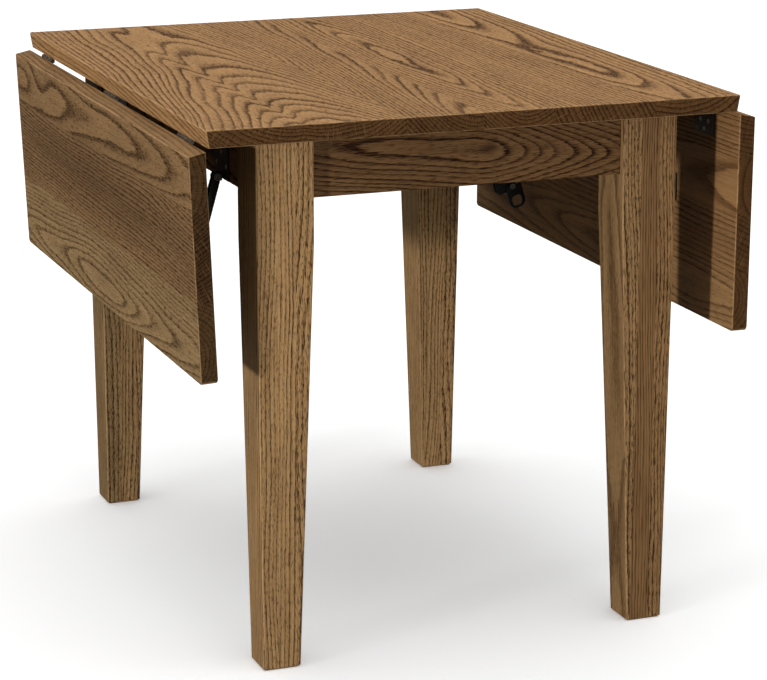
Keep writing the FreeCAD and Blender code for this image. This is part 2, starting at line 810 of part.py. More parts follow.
def make_apron_bracket(side, row, masters):
    """The fixed bracket: a plate on the apron with two ears that hold the pivot."""
    name = "ApronBracket" + side + row
    inner = "apron_ear_outer - sheet_thickness"
    plate = block(
        name + "Plate",
        ("plate_thickness", "bracket_length", "bracket_below + bracket_above"),
        ("-pivot_offset", "-bracket_length / 2", "-bracket_below"),
    )
    arm = block(
        name + "Arm",
        ("pivot_offset - plate_thickness", "2 * apron_ear_outer", "2 * ear_radius"),
        ("-pivot_offset + plate_thickness", "-apron_ear_outer", "-ear_radius"),
    )
    eye = rod(name + "Eye", "ear_radius", "2 * apron_ear_outer", ("0", "-apron_ear_outer", "0"))
    throat = block(
        name + "Throat",
        ("pivot_offset + ear_radius + overrun", "2 * (%s)" % inner, "2 * ear_radius + 2 * overrun"),
        ("-pivot_offset + plate_thickness", "-(%s)" % inner, "-ear_radius - overrun"),
    )
    places = []
    for up, along in bracket_screw_spots():
        places.append(at(value("plate_thickness - pivot_offset"), along, up) * turn_y(-90))
    sinks = copies(name + "Sinks", masters["sink"], places)
    tools = [throat, pin_hole(name + "Hole", "0", "0"), sinks]
    bracket = carved(name, fused(name + "Blank", [plate, arm, eye]), tools)
    place = turn_z(SIDES[side]) * at(value("pivot_x"), side_row(side, row), value("pivot_height"))
    node(bracket, "apron_bracket_%s_%s" % (side, row), place)


def make_pivot_pins():
    """The four rivets on which the lower arms turn."""
    pins = []
    for side in SIDES:
        for row in ROWS:
            pin = headed_pin("PivotPin" + side + row, "channel_width / 2 + side_gap")
            place = at(value("pivot_x"), side_row(side, row), value("pivot_height"))
            pin.Placement = turn_z(SIDES[side]) * place
            pins.append(pin)
    node(grouped("PivotPins", pins), "pivot_pins")


def make_lower_arm(side, row):
    """A channel folded from sheet, with an eye at one end and a slotted head at the other."""
    name = "LowerArm" + side + row
    half = "channel_width / 2"
    high = "window_radius + head_margin - window_drop"
    low = "-(window_drop + window_length + window_radius + head_margin)"
    back = "lower_arm_length + window_shift - window_radius - head_margin"
    front = "lower_arm_length + release_reach + release_margin"
    head = padded(name + "Head", "XZ_Plane", (
        (back, low),
        (front, low),
        (front, high),
        (back, high),
    ), "channel_width")
    along = FreeCAD.Vector(0, 1, 0)
    softened(head, "Fillet", name + "Corner", "head_corner_radius", lambda edge: runs_along(edge, along))
    bar = block(
        name + "Bar",
        ("lower_arm_length", "channel_width", "channel_depth"),
        ("0", "-" + half, "-channel_depth / 2"),
    )
    eye = rod(name + "Eye", "eye_radius", "channel_width", ("0", "-" + half, "0"))
    hollow = block(
        name + "Hollow",
        ("lower_arm_length", "channel_inside", "channel_depth"),
        ("0", "-channel_inside / 2", "-channel_depth / 2 + sheet_thickness"),
    )
    start = block(
        name + "Start",
        ("channel_start + eye_radius + overrun", "channel_inside", "2 * eye_radius + 2 * overrun"),
        ("-eye_radius - overrun", "-channel_inside / 2", "-eye_radius - overrun"),
    )
    end_length = front + " - (%s) + channel_end + overrun" % back
    end_height = high + " - (%s) + 2 * overrun" % low
    end = block(
        name + "End",
        (end_length, "channel_inside", end_height),
        (back + " - channel_end", "-channel_inside / 2", low + " - overrun"),
    )
    slot_x = "lower_arm_length + window_shift"
    wide = "channel_width + 2 * overrun"
    side_start = "-%s - overrun" % half
    window = [
        rod(name + "WindowA", "window_radius", wide, (slot_x, side_start, "-window_drop")),
        rod(name + "WindowB", "window_radius", wide, (slot_x, side_start, "-window_drop - window_length")),
        block(
            name + "WindowC",
            ("2 * window_radius", wide, "window_length"),
            (slot_x + " - window_radius", side_start, "-window_drop - window_length"),
        ),
    ]
    rivet = rod(
        name + "RivetHole",
        "release_pin_radius + running_fit",
        half + " + overrun",
        ("lower_arm_length + release_reach", side_start, "0"),
    )
    tools = [hollow, start, end, pin_hole(name + "Hole", "0", "0"), rivet] + window
    arm = carved(name, fused(name + "Blank", [bar, eye, head]), tools)
    node(arm, "lower_arm_%s_%s" % (side, row), lower_place(side, row))


def make_upper_arm(side, row):
    """A flat bar with an eye at both ends, and the knee pin riveted through its far eye."""
    name = "UpperArm" + side + row
    half = "bar_thickness / 2"
    bar = block(
        name + "Bar",
        ("upper_arm_length", "bar_thickness", "bar_width"),
        ("0", "-" + half, "-bar_width / 2"),
    )
    near = rod(name + "Near", "bar_width / 2", "bar_thickness", ("0", "-" + half, "0"))
    far = rod(name + "Far", "bar_width / 2", "bar_thickness", ("upper_arm_length", "-" + half, "0"))
    holes = [pin_hole(name + "HoleA", "0", "0"), pin_hole(name + "HoleB", "upper_arm_length", "0")]
    arm = carved(name, fused(name + "Blank", [bar, near, far]), holes)
    place = upper_place(side, row)
    node(arm, "upper_arm_%s_%s" % (side, row), place)
    pin = headed_pin("KneePin" + side + row, "channel_width / 2 + side_gap")
    node(pin, "knee_pin_%s_%s" % (side, row), place * at(value("upper_arm_length"), 0, 0))


def make_leaf_bracket(side, row, masters):
    """The bracket on the leaf: a plate with two ears that hold the upper arm's pivot."""
    name = "LeafBracket" + side + row
    pivot = "pin_drop - leaf_pivot_drop"
    plate = block(
        name + "Plate",
        ("2 * leaf_plate_half", "bracket_length", "plate_thickness"),
        ("-leaf_plate_half", "-bracket_length / 2", "pin_drop - plate_thickness"),
    )
    ears = block(
        name + "Ears",
        ("2 * ear_radius", "2 * leaf_ear_outer", "leaf_pivot_drop - plate_thickness"),
        ("-ear_radius", "-leaf_ear_outer", pivot),
    )
    eye = rod(name + "Eye", "ear_radius", "2 * leaf_ear_outer", ("0", "-leaf_ear_outer", pivot))
    throat_height = "leaf_pivot_drop - plate_thickness + ear_radius + overrun"
    throat = block(
        name + "Throat",
        ("2 * ear_radius + 2 * overrun", "2 * leaf_ear_inner", throat_height),
        ("-ear_radius - overrun", "-leaf_ear_inner", pivot + " - ear_radius - overrun"),
    )
    depth = value("pin_drop - plate_thickness")
    places = [at(across, along, depth) for across, along in leaf_screw_spots()]
    sinks = copies(name + "Sinks", masters["sink"], places)
    tools = [throat, pin_hole(name + "Hole", "0", pivot), sinks]
    bracket = carved(name, fused(name + "Blank", [plate, ears, eye]), tools)
    place = leaf_place(side) * at(value("leaf_pivot_reach"), side_row(side, row), 0)
    node(bracket, "leaf_bracket_%s_%s" % (side, row), place)


def make_leaf_pins(side):
    """The two rivets on which the upper arms of one leaf turn."""
    pins = []
    for row in ROWS:
        pin = headed_pin("LeafPin" + side + row, "leaf_ear_outer + running_fit")
        spot = at(value("leaf_pivot_reach"), side_row(side, row), value("pin_drop - leaf_pivot_drop"))
        pin.Placement = leaf_place(side) * spot
        pins.append(pin)
    node(grouped("LeafPins" + side, pins), "leaf_bracket_pins_" + side)


def make_release(side, row):
    """The finger loop beside the lower arm's head, and the rivet on which it turns."""
    name = "Release" + side + row
    plate = padded(name + "Plate", "XZ_Plane", (
        ("-loop_top", "-loop_inner_side"),
        ("loop_bottom", "-loop_inner_side"),
        ("loop_bottom", "loop_outer_side"),
        ("-loop_top", "loop_outer_side"),
    ), "release_thickness")
    along = FreeCAD.Vector(0, 1, 0)
    middle = value("loop_bottom") / 2
    softened(
        plate, "Fillet", name + "Corner", "loop_corner_radius",
        lambda edge: runs_along(edge, along) and edge.CenterOfMass.x > middle,
    )
    softened(
        plate, "Fillet", name + "Shoulder", "loop_shoulder_radius",
        lambda edge: runs_along(edge, along) and edge.CenterOfMass.x < 0,
    )
    opening = padded(name + "Opening", "XZ_Plane", (
        ("loop_bottom - loop_rim - opening_height", "-loop_inner_side + loop_limb"),
        ("loop_bottom - loop_rim", "-loop_inner_side + loop_limb"),
        ("loop_bottom - loop_rim", "loop_outer_side - loop_limb"),
        ("loop_bottom - loop_rim - opening_height", "loop_outer_side - loop_limb"),
    ), "release_thickness + 2 * overrun")
    softened(opening, "Fillet", name + "Inner", "opening_corner_radius", lambda edge: runs_along(edge, along))
    start = ("0", "-release_thickness / 2", "0")
    boss = rod(name + "Boss", "release_boss_radius", "release_thickness", start)
    stud = rod(
        name + "Stud",
        "stud_radius",
        "stud_height",
        ("stud_inset", "-release_thickness / 2 - stud_height", "loop_outer_side - stud_inset"),
    )
    hole = rod(
        name + "Hole",
        "release_pin_radius + running_fit",
        "release_thickness + 2 * overrun",
        ("0", "-release_thickness / 2 - overrun", "0"),
    )
    loop = carved(name, fused(name + "Blank", [plate, boss, stud]), [opening, hole])
    place = lower_place(side, row) * at(value("lower_arm_length + release_reach"), 0, 0)
    layer = at(0, -value("loop_layer + release_thickness / 2"), 0)
    node(loop, "release_loop_%s_%s" % (side, row), place * layer)
    far = "loop_layer + release_thickness + side_gap"
    near = "channel_inside / 2"
    stem = far + " - (%s)" % near
    rivet = fused("ReleaseRivet" + side + row, [
        rod("RivetStem" + side + row, "release_pin_radius", stem, ("0", "-(%s)" % far, "0")),
        rod(
            "RivetHead" + side + row,
            "release_head_radius",
            "pivot_head_height",
            ("0", "-(%s) - pivot_head_height" % far, "0"),
        ),
        rod(
            "RivetTail" + side + row,
            "release_head_radius",
            "sheet_thickness - side_gap",
            ("0", "-(%s)" % near, "0"),
        ),
    ])
    node(rivet, "release_rivet_%s_%s" % (side, row), place)


def make_screws(masters):
    """The plate screws: one group in the frame and one in each leaf."""
    frame = []
    for side, angle in SIDES.items():
        for place in top_hinge_screws() + apron_screws(side):
            frame.append(turn_z(angle) * place)
    node(copies("FrameScrews", masters["screw"], frame), "plate_screws_frame")
    for side in SIDES:
        places = [leaf_place(side) * place for place in leaf_screws(side)]
        node(copies("LeafScrews" + side, masters["screw"], places), "plate_screws_leaf_" + side)


def build():
    """Make every piece of the table."""
    fill_sheet()
    masters = screw_masters()
    make_top(masters)
    for corner, angle in CORNERS.items():
        make_leg(corner, angle)
    make_end_apron("front", 0)
    make_end_apron("back", 180)
    make_braces(masters)
    make_hinge_pins()
    make_pivot_pins()
    make_screws(masters)
    for side in SIDES:
        make_side_apron(side, masters)
        make_leaf(side, masters)
        make_hinges(side, masters)
        make_leaf_pins(side)
        for row in ROWS:
            make_apron_bracket(side, row, masters)
            make_lower_arm(side, row)
            make_upper_arm(side, row)
            make_leaf_bracket(side, row, masters)
            make_release(side, row)
    doc.recompute()


def write():
    """Check every object, then write each piece to its own file."""
    for item in doc.Objects:
        if "Invalid" in item.State or "Error" in item.State:
            raise RuntimeError("%s did not build" % item.Name)
    os.makedirs("parts", exist_ok=True)
    for piece in nodes:
        if piece.Shape.isNull() or not piece.Shape.isValid() or not piece.Shape.Volume > 0:
            raise RuntimeError("%s has no valid shape" % piece.Label)
        piece.Shape.exportStep("parts/%s.step" % piece.Label)


build()
write()
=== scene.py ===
"""The looks of a pembroke table: stained open-pored timber, black folding supports, steel hinges, bright screws.

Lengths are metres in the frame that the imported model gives: X across the hinges, Y along them, Z up. What is
measured in the timber itself, such as the width of a board or of a ring, is in millimetres.
"""
import json
import logging
import math
from dataclasses import dataclass, field
from enum import Enum
from typing import Any, Mapping, Sequence, Union

import bpy
from mathutils import Euler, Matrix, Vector


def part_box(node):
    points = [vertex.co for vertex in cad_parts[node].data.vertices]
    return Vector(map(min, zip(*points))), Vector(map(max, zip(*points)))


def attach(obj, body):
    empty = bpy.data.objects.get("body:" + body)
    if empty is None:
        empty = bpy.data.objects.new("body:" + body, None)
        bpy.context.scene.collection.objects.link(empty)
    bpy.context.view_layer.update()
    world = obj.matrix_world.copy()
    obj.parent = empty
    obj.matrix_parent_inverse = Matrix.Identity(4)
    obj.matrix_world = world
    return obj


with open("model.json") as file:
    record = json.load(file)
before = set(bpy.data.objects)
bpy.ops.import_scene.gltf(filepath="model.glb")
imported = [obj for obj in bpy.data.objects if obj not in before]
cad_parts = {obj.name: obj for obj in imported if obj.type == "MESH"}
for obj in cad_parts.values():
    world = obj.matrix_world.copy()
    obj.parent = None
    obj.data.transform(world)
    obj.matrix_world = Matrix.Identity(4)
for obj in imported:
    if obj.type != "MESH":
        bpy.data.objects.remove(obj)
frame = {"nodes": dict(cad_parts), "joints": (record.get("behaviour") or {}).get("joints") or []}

LOG = logging.getLogger("pembroke_table")
PER_METRE = 1000.0
MM = 1.0 / PER_METRE
RIGHTWARD = Vector((1.0, 0.0, 0.0))
BACKWARD = Vector((0.0, 1.0, 0.0))
UPWARD = Vector((0.0, 0.0, 1.0))

Triple = tuple[float, float, float]
Colour = Triple
Span = tuple[float, float]
Operand = Union["Signal", float]
Point = tuple["Signal", "Signal", "Signal"]
Sockets = Union[Mapping[Any, Any], Sequence[Any]]
Holder = Union[bpy.types.Material, bpy.types.World]


class Signal:
    """A value that changes over a surface: a node's output that takes part in Python sums."""

    def __init__(self, graph: "Graph", socket: bpy.types.NodeSocket) -> None:
        """Keep the socket and the graph that it belongs to."""
        self.graph = graph
        self.socket = socket

    def math(self, operation: str, *others: Operand) -> "Signal":
        """Return one Math node's result on this value and others."""
        return self.graph.math(operation, self, *others)

    def __add__(self, other: Operand) -> "Signal":
        """Return the sum."""
        return self.math("ADD", other)

    __radd__ = __add__

    def __sub__(self, other: Operand) -> "Signal":
        """Return the difference."""
        return self.math("SUBTRACT", other)

    def __rsub__(self, other: Operand) -> "Signal":
        """Return the difference the other way round."""
        return self.graph.math("SUBTRACT", other, self)

    def __mul__(self, other: Operand) -> "Signal":
        """Return the product."""
        return self.math("MULTIPLY", other)

    __rmul__ = __mul__

    def __truediv__(self, other: Operand) -> "Signal":
        """Return the quotient."""
        return self.math("DIVIDE", other)

    def __rtruediv__(self, other: Operand) -> "Signal":
        """Return the quotient the other way round."""
        return self.graph.math("DIVIDE", other, self)

    def __abs__(self) -> "Signal":
        """Return the value without its sign."""
        return self.math("ABSOLUTE")

    def root(self) -> "Signal":
        """Return the square root."""
        return self.math("SQRT")

    def part(self) -> "Signal":
        """Return what is left above the whole number."""
        return self.math("FRACT")

    def whole(self) -> "Signal":
        """Return the whole number below."""
        return self.math("FLOOR")

    def most(self, other: Operand) -> "Signal":
        """Return the larger of two values."""
        return self.math("MAXIMUM", other)

    def eased(self, low: float, high: float) -> "Signal":
        """Return a soft step that is 0 at low and 1 at high."""
        settings = {"interpolation_type": "SMOOTHSTEP"}
        return self.graph.node("ShaderNodeMapRange", settings, (self, low, high, 0.0, 1.0))

    def scaled(self, low: float, high: float) -> "Signal":
        """Return low where the value is 0 and high where it is 1."""
        return self * (high - low) + low


class Graph:
    """The node tree of a material or a world, in which every node is made by one method."""

    def __init__(self, holder: Holder) -> None:
        """Start an empty tree in its holder.

        Args:
            holder: The material or the world.
        """
        holder.use_nodes = True
        self.holder = holder
        self.tree = holder.node_tree
        self.tree.nodes.clear()

    def node(self, kind: str, settings: Mapping[str, Any], sockets: Sockets, output: Any = 0) -> Signal:
        """Add a node.

        Args:
            kind: The node's type.
            settings: What is set on the node itself; stops are a ramp's positions with their colours.
            sockets: Values or links of its inputs, in order or by name.
            output: Which of its outputs is wanted.

        Returns:
            The wanted output.
        """
        node = self.tree.nodes.new(kind)
        for name, setting in settings.items():
            if name == "stops":
                self._set_stops(node.color_ramp, setting)
            elif name == "blend":
                node.color_ramp.interpolation = setting
            else:
                setattr(node, name, setting)
        pairs = sockets.items() if isinstance(sockets, Mapping) else enumerate(sockets)
        for place, content in pairs:
            if isinstance(content, Signal):
                self.tree.links.new(content.socket, node.inputs[place])
            else:
                node.inputs[place].default_value = content
        return Signal(self, node.outputs[output] if node.outputs else None)

    @staticmethod
    def _set_stops(ramp: bpy.types.ColorRamp, stops: Sequence[tuple[float, Triple]]) -> None:
        """Give a ramp its stops.

        Args:
            ramp: The ramp.
            stops: Each stop's position and colour.
        """
        while len(ramp.elements) > 1:
            ramp.elements.remove(ramp.elements[-1])
        for index, (position, colour) in enumerate(stops):
            element = ramp.elements.new(position) if index else ramp.elements[0]
            element.position = position
            element.color = (*colour, 1.0)

    def math(self, operation: str, *values: Operand) -> Signal:
        """Return one Math node's result."""
        return self.node("ShaderNodeMath", {"operation": operation}, values)

    def vector(self, operation: str, *values: Any, output: str = "Vector") -> Signal:
        """Return one Vector Math node's result."""
        return self.node("ShaderNodeVectorMath", {"operation": operation}, values, output)

    def place(self) -> Signal:
        """Return the point of the surface, in the frame at rest."""
        return self.node("ShaderNodeTexCoord", {}, {}, "Object")

    def facing(self) -> Signal:
        """Return the way that the surface faces, in the frame at rest."""
        return self.node("ShaderNodeTexCoord", {}, {}, "Normal")

    def along(self, point: Signal, axis: Sequence[float]) -> Signal:
        """Return how far a point lies along an axis."""
        return self.vector("DOT_PRODUCT", point, tuple(axis), output="Value")

    def joined(self, x: Operand, y: Operand, z: Operand) -> Signal:
        """Return three values as one vector."""
        return self.node("ShaderNodeCombineXYZ", {}, (x, y, z))

    def noise(self, point: Signal, scale: float = 1.0, detail: float = 2.0, roughness: float = 0.5) -> Signal:
        """Return a soft noise between 0 and 1, mostly near the middle."""
        sockets = {"Vector": point, "Scale": scale, "Detail": detail, "Roughness": roughness}
        return self.node("ShaderNodeTexNoise", {"noise_dimensions": "3D"}, sockets)

    def curve(self, value: Signal, stops: Sequence[Span]) -> Signal:
        """Return a value shaped by a run of positions and heights."""
        greys = [(position, (height,) * 3) for position, height in stops]
        return self.node("ShaderNodeValToRGB", {"stops": greys}, (value,))

    def mixed(self, share: Operand, first: Any, second: Any, blend: str = "MIX") -> Signal:
        """Mix two colours.

        Args:
            share: How much of the second one is in the mix.
            first: A colour, or a value that changes over the surface.
            second: Another one.
            blend: The way of mixing.

        Returns:
            The mixed colour.
        """
        settings = {"data_type": "RGBA", "blend_type": blend}
        colours = [colour if isinstance(colour, Signal) else (*colour, 1.0) for colour in (first, second)]
        return self.node("ShaderNodeMix", settings, {0: share, 6: colours[0], 7: colours[1]}, 2)

    def relief(self, height: Signal, depth: float, strength: float) -> Signal:
        """Return the normal of a surface with a relief of that depth."""
        return self.node("ShaderNodeBump", {}, {"Strength": strength, "Distance": depth, "Height": height})

    def surfaced(self, sockets: Mapping[str, Any]) -> Holder:
        """End the tree in one shader.

        Args:
            sockets: Values or links of the shader's inputs.

        Returns:
            The material that holds the tree.
        """
        shader = self.node("ShaderNodeBsdfPrincipled", {}, sockets)
        self.node("ShaderNodeOutputMaterial", {}, {"Surface": shader})
        return self.holder


@dataclass(frozen=True)
class Board:
    """One sawn board and how it lay in its tree, in millimetres of the piece it belongs to.

    Attributes:
        width: The board's width across the piece.
        heart: Where the middle of the rings lies across the piece.
        height: How high the middle of the rings lies over the piece's show face.
        taper: How fast the rings drift along the board, which draws arches that point one way.
        crown: How fast they drift both ways from the middle, which draws long closed eyes.
        middle: Where along the piece the eye lies.
        ring: The width of a ring.
        tone: How light the board is.
        slant: How far the heart wanders across for each length along.
        ease: How long the blunt middle of an eye is.
        pores: How strongly the open pores show.
        dash: How long a pore is.
        lines: How strongly the rings show.
        warmth: How far the colour leans to red, or to grey where it is below 0.
    """

    width: float
    heart: float
    height: float
    taper: float = 0.02
    crown: float = 0.0
    middle: float = 0.0
    ring: float = 5.0
    tone: float = 1.0
    slant: float = 0.0
    ease: float = 70.0
    pores: float = 1.0
    dash: float = 15.0
    lines: float = 1.0
    warmth: float = 0.0


@dataclass(frozen=True)
class Swell:
    """A place where the rings bulge, or where the colour is darkened for a knot's stain, for painted shade or
    towards a leg's foot, in millimetres of the piece.

    Attributes:
        across: Where it lies across the piece.
        along: Where it lies along the piece.
        width: How far it reaches across.
        length: How far it reaches along.
        rise: How far the rings are pushed out.
        shade: How dark the colour is made there: a knot's stain, painted shade, or darkening towards a leg's
            foot.
    """

    across: float
    along: float
    width: float
    length: float
    rise: float
    shade: float = 0.0


@dataclass(frozen=True)
class Cut:
    """How a wooden piece lies in the frame and which boards it is glued up from.

    Attributes:
        origin: The point that the boards are measured from, on the show face.
        across: The way that the boards follow each other.
        along: The way of the grain.
        through: The way out of the show face.
        start: Where the first board starts, across.
        boards: The boards in their order.
        seed: What sets this piece's chance figure apart from that of others.
        swells: Where the rings bulge.
    """

    origin: Vector
    across: Vector
    along: Vector
    through: Vector
    start: float
    boards: tuple[Board, ...]
    seed: float = 0.0
    swells: tuple[Swell, ...] = ()

    LIMITS = {
        "heart": (-800.0, 800.0), "height": (-400.0, 400.0), "taper": (-0.4, 0.4), "crown": (-0.4, 0.4),
        "middle": (-600.0, 600.0), "ring": (0.0, 20.0), "tone": (0.0, 2.0), "slant": (-0.5, 0.5),
        "ease": (0.0, 400.0), "pores": (0.0, 2.0), "dash": (0.0, 60.0), "lines": (0.0, 2.0),
        "warmth": (-2.0, 2.0),
    }

    def measured(self, graph: Graph) -> Point:
        """Measure a point of the surface in the piece's own ways.

        Args:
            graph: The tree that the measuring goes into.

        Returns:
            How far the point lies across, along and through the piece.
        """
        offset = graph.vector("SUBTRACT", graph.place(), tuple(self.origin))
        axes = (self.across, self.along, self.through)
        return tuple(graph.along(offset, axis * PER_METRE) for axis in axes)

    def chart(self, graph: Graph, across: Signal) -> dict[str, Operand]:
        """Look up the board under a point.

        Args:
            graph: The tree that the look-up goes into.
            across: How far the point lies across the piece.

        Returns:
            Each property of the board, as a value that changes from board to board.
        """
        if len(self.boards) == 1:
            return {name: getattr(self.boards[0], name) for name in self.LIMITS}
        whole = sum(board.width for board in self.boards)
        position = (across - self.start) / whole
        names = list(self.LIMITS)
        found: dict[str, Operand] = {}
        for group in (names[first:first + 3] for first in range(0, len(names), 3)):
            settings = {"stops": self._stops(group, whole), "blend": "CONSTANT"}
            colour = graph.node("ShaderNodeValToRGB", settings, (position,))
            for index, name in enumerate(group):
                share = graph.node("ShaderNodeSeparateColor", {}, (colour,), index)
                found[name] = share.scaled(*self.LIMITS[name])
        return found

    def _stops(self, names: Sequence[str], whole: float) -> list[tuple[float, Triple]]:
        """Write up to three properties of every board as a ramp's stops.

        Args:
            names: The properties.
            whole: The width of all boards.

        Returns:
            The stops.
        """
        stops = []
        edge = 0.0
        for board in self.boards:
            shares = [0.0, 0.0, 0.0]
            for index, name in enumerate(names):
                low, high = self.LIMITS[name]
                shares[index] = (getattr(board, name) - low) / (high - low)
            stops.append((edge / whole, tuple(shares)))
            edge += board.width
        return stops


@dataclass(frozen=True)
class Figure:
    """A chance figure in the timber, stretched along the grain.

    Attributes:
        across: How far one mark reaches across and through the piece.
        along: How far it reaches along the grain.
        detail: How many finer layers lie in it.
    """

    across: float
    along: Operand
    detail: float = 1.0

    def drawn(self, graph: Graph, point: Point, sideways: Operand = 0.0, lengthways: Operand = 0.0) -> Signal:
        """Draw the figure.

        Args:
            graph: The tree that it goes into.
            point: The point, across, along and through the piece.
            sideways: How many marks the figure is shifted across.
            lengthways: How many marks it is shifted along.

        Returns:
            A value between 0 and 1.
        """
        across, along, through = point
        marks = graph.joined(across / self.across + sideways, along / self.along + lengthways,
                             through / self.across)
        return graph.noise(marks, detail=self.detail)


@dataclass(frozen=True)
class Rings:
    """The rings of the tree, which sway, waver, fray and crowd.

    A figure draws each of their motions, and the length beside it says how far that motion goes. The profile is
    how dark a ring is from its sharp start to its end, and a year is weak or strong along its own figure.
    """

    swaying: Figure = Figure(110.0, 380.0)
    sway: float = 10.0
    wavering: Figure = Figure(24.0, 130.0, 2.0)
    wave: float = 1.7
    fraying: Figure = Figure(1.7, 30.0)
    feather: float = 1.1
    crowd_run: float = 30.0
    crowding: float = 7.0
    seed_step: float = 37.0
    heart_step: float = 0.31
    profile: tuple[Span, ...] = (
        (0.0, 1.0), (0.14, 0.9), (0.26, 0.45), (0.45, 0.14), (0.84, 0.0), (0.93, 0.05), (1.0, 0.9))
    year_step: float = 1.7
    year_run: float = 700.0
    year_span: Span = (0.2, 0.65)
    weak_year: float = 0.55

    def measured(self, graph: Graph, cut: Cut, board: Mapping[str, Operand],
                 point: Point) -> tuple[Signal, Signal]:
        """Measure a point from the heart of its board.

        Args:
            graph: The tree that the measuring goes into.
            cut: The piece.
            board: The properties of the board.
            point: The point, across, along and through the piece.

        Returns:
            The swaying distance from the heart and the angle round it.
        """
        across, along, through = point
        sideways = across - board["heart"] - along * board["slant"]
        upward = through - board["height"]
        run = along - board["middle"]
        shift = cut.seed * self.seed_step + board["heart"] * self.heart_step
        slow = self.swaying.drawn(graph, point, shift)
        quick = self.wavering.drawn(graph, point, shift)
        fine = self.fraying.drawn(graph, point, shift)
        radius = (sideways * sideways + upward * upward).root() + run * board["taper"]
        radius = radius + (run * run + board["ease"] * board["ease"]).root() * board["crown"]
        radius = radius + slow.scaled(-self.sway, self.sway) + quick.scaled(-self.wave, self.wave)
        crowd = graph.noise(graph.joined(radius / self.crowd_run, shift, cut.seed), detail=1.0)
        radius = radius + crowd.scaled(-self.crowding, self.crowding) + fine.scaled(-self.feather, self.feather)
        return radius, graph.math("ARCTAN2", sideways, upward)

    def early_wood(self, graph: Graph, phase: Signal, along: Signal, seed: float) -> Signal:
        """Draw the dark starts of the rings.

        Args:
            graph: The tree that they go into.
            phase: The distance from the heart, counted in rings.
            along: How far the point lies along the piece.
            seed: The piece's seed.

        Returns:
            How dark the ring is.
        """
        year = graph.noise(graph.joined(phase.whole() * self.year_step, along / self.year_run, seed), detail=0.0)
        strength = year.eased(*self.year_span).scaled(self.weak_year, 1.0)
        return graph.curve(phase.part(), self.profile) * strength


@dataclass(frozen=True)
class Pores:
    """The open pores: short dark dashes along the grain, crowded where the ring is dark.

    A dark ring pulls pores together, a board with strong pores has a larger share of them, and the spans are
    where a pore opens and where a face turns from the show face to a sawn side, on which pores show less.
    """

    width: float = 1.3
    pull: float = 0.10
    share: float = 0.05
    span: Span = (0.555, 0.635)
    pale_ring: float = 0.5
    sawn_span: Span = (0.5, 0.9)
    sawn: float = 0.45

    def drawn(self, graph: Graph, cut: Cut, board: Mapping[str, Operand], early: Signal, point: Point) -> Signal:
        """Draw the pores.

        Args:
            graph: The tree that they go into.
            cut: The piece.
            board: The properties of the board.
            early: How dark the ring is.
            point: The point, across, along and through the piece.

        Returns:
            How open a pore is there.
        """
        side = abs(graph.along(graph.facing(), cut.across)).eased(*self.sawn_span)
        dash = Figure(self.width, board["dash"]).drawn(graph, point, lengthways=cut.seed)
        crowd = dash + early * self.pull + board["pores"] * self.share - self.share
        opened = crowd.eased(*self.span) * early.scaled(self.pale_ring, 1.0) * board["pores"]
        return opened.math("MINIMUM", 1.0) * side.scaled(1.0, self.sawn)


@dataclass(frozen=True)
class Wear:
    """Where hands have rubbed: the rounded edges, which face none of a piece's three ways.

    The first span is where a face starts and ends to be flat, the second where a patch starts and ends to be
    rubbed; patches are counted to the metre.
    """

    straight: Span = (0.80, 0.985)
    patches: float = 60.0
    span: Span = (0.25, 0.6)

    def drawn(self, graph: Graph, cut: Cut) -> Signal:
        """Draw the rubbed edges.

        Args:
            graph: The tree that they go into.
            cut: The piece.

        Returns:
            How far the edge is rubbed.
        """
        facing = graph.facing()
        first, second, third = (abs(graph.along(facing, axis)) for axis in (cut.across, cut.along, cut.through))
        flat = first.most(second).most(third).eased(*self.straight)
        return (1.0 - flat) * graph.noise(graph.place(), self.patches).eased(*self.span)


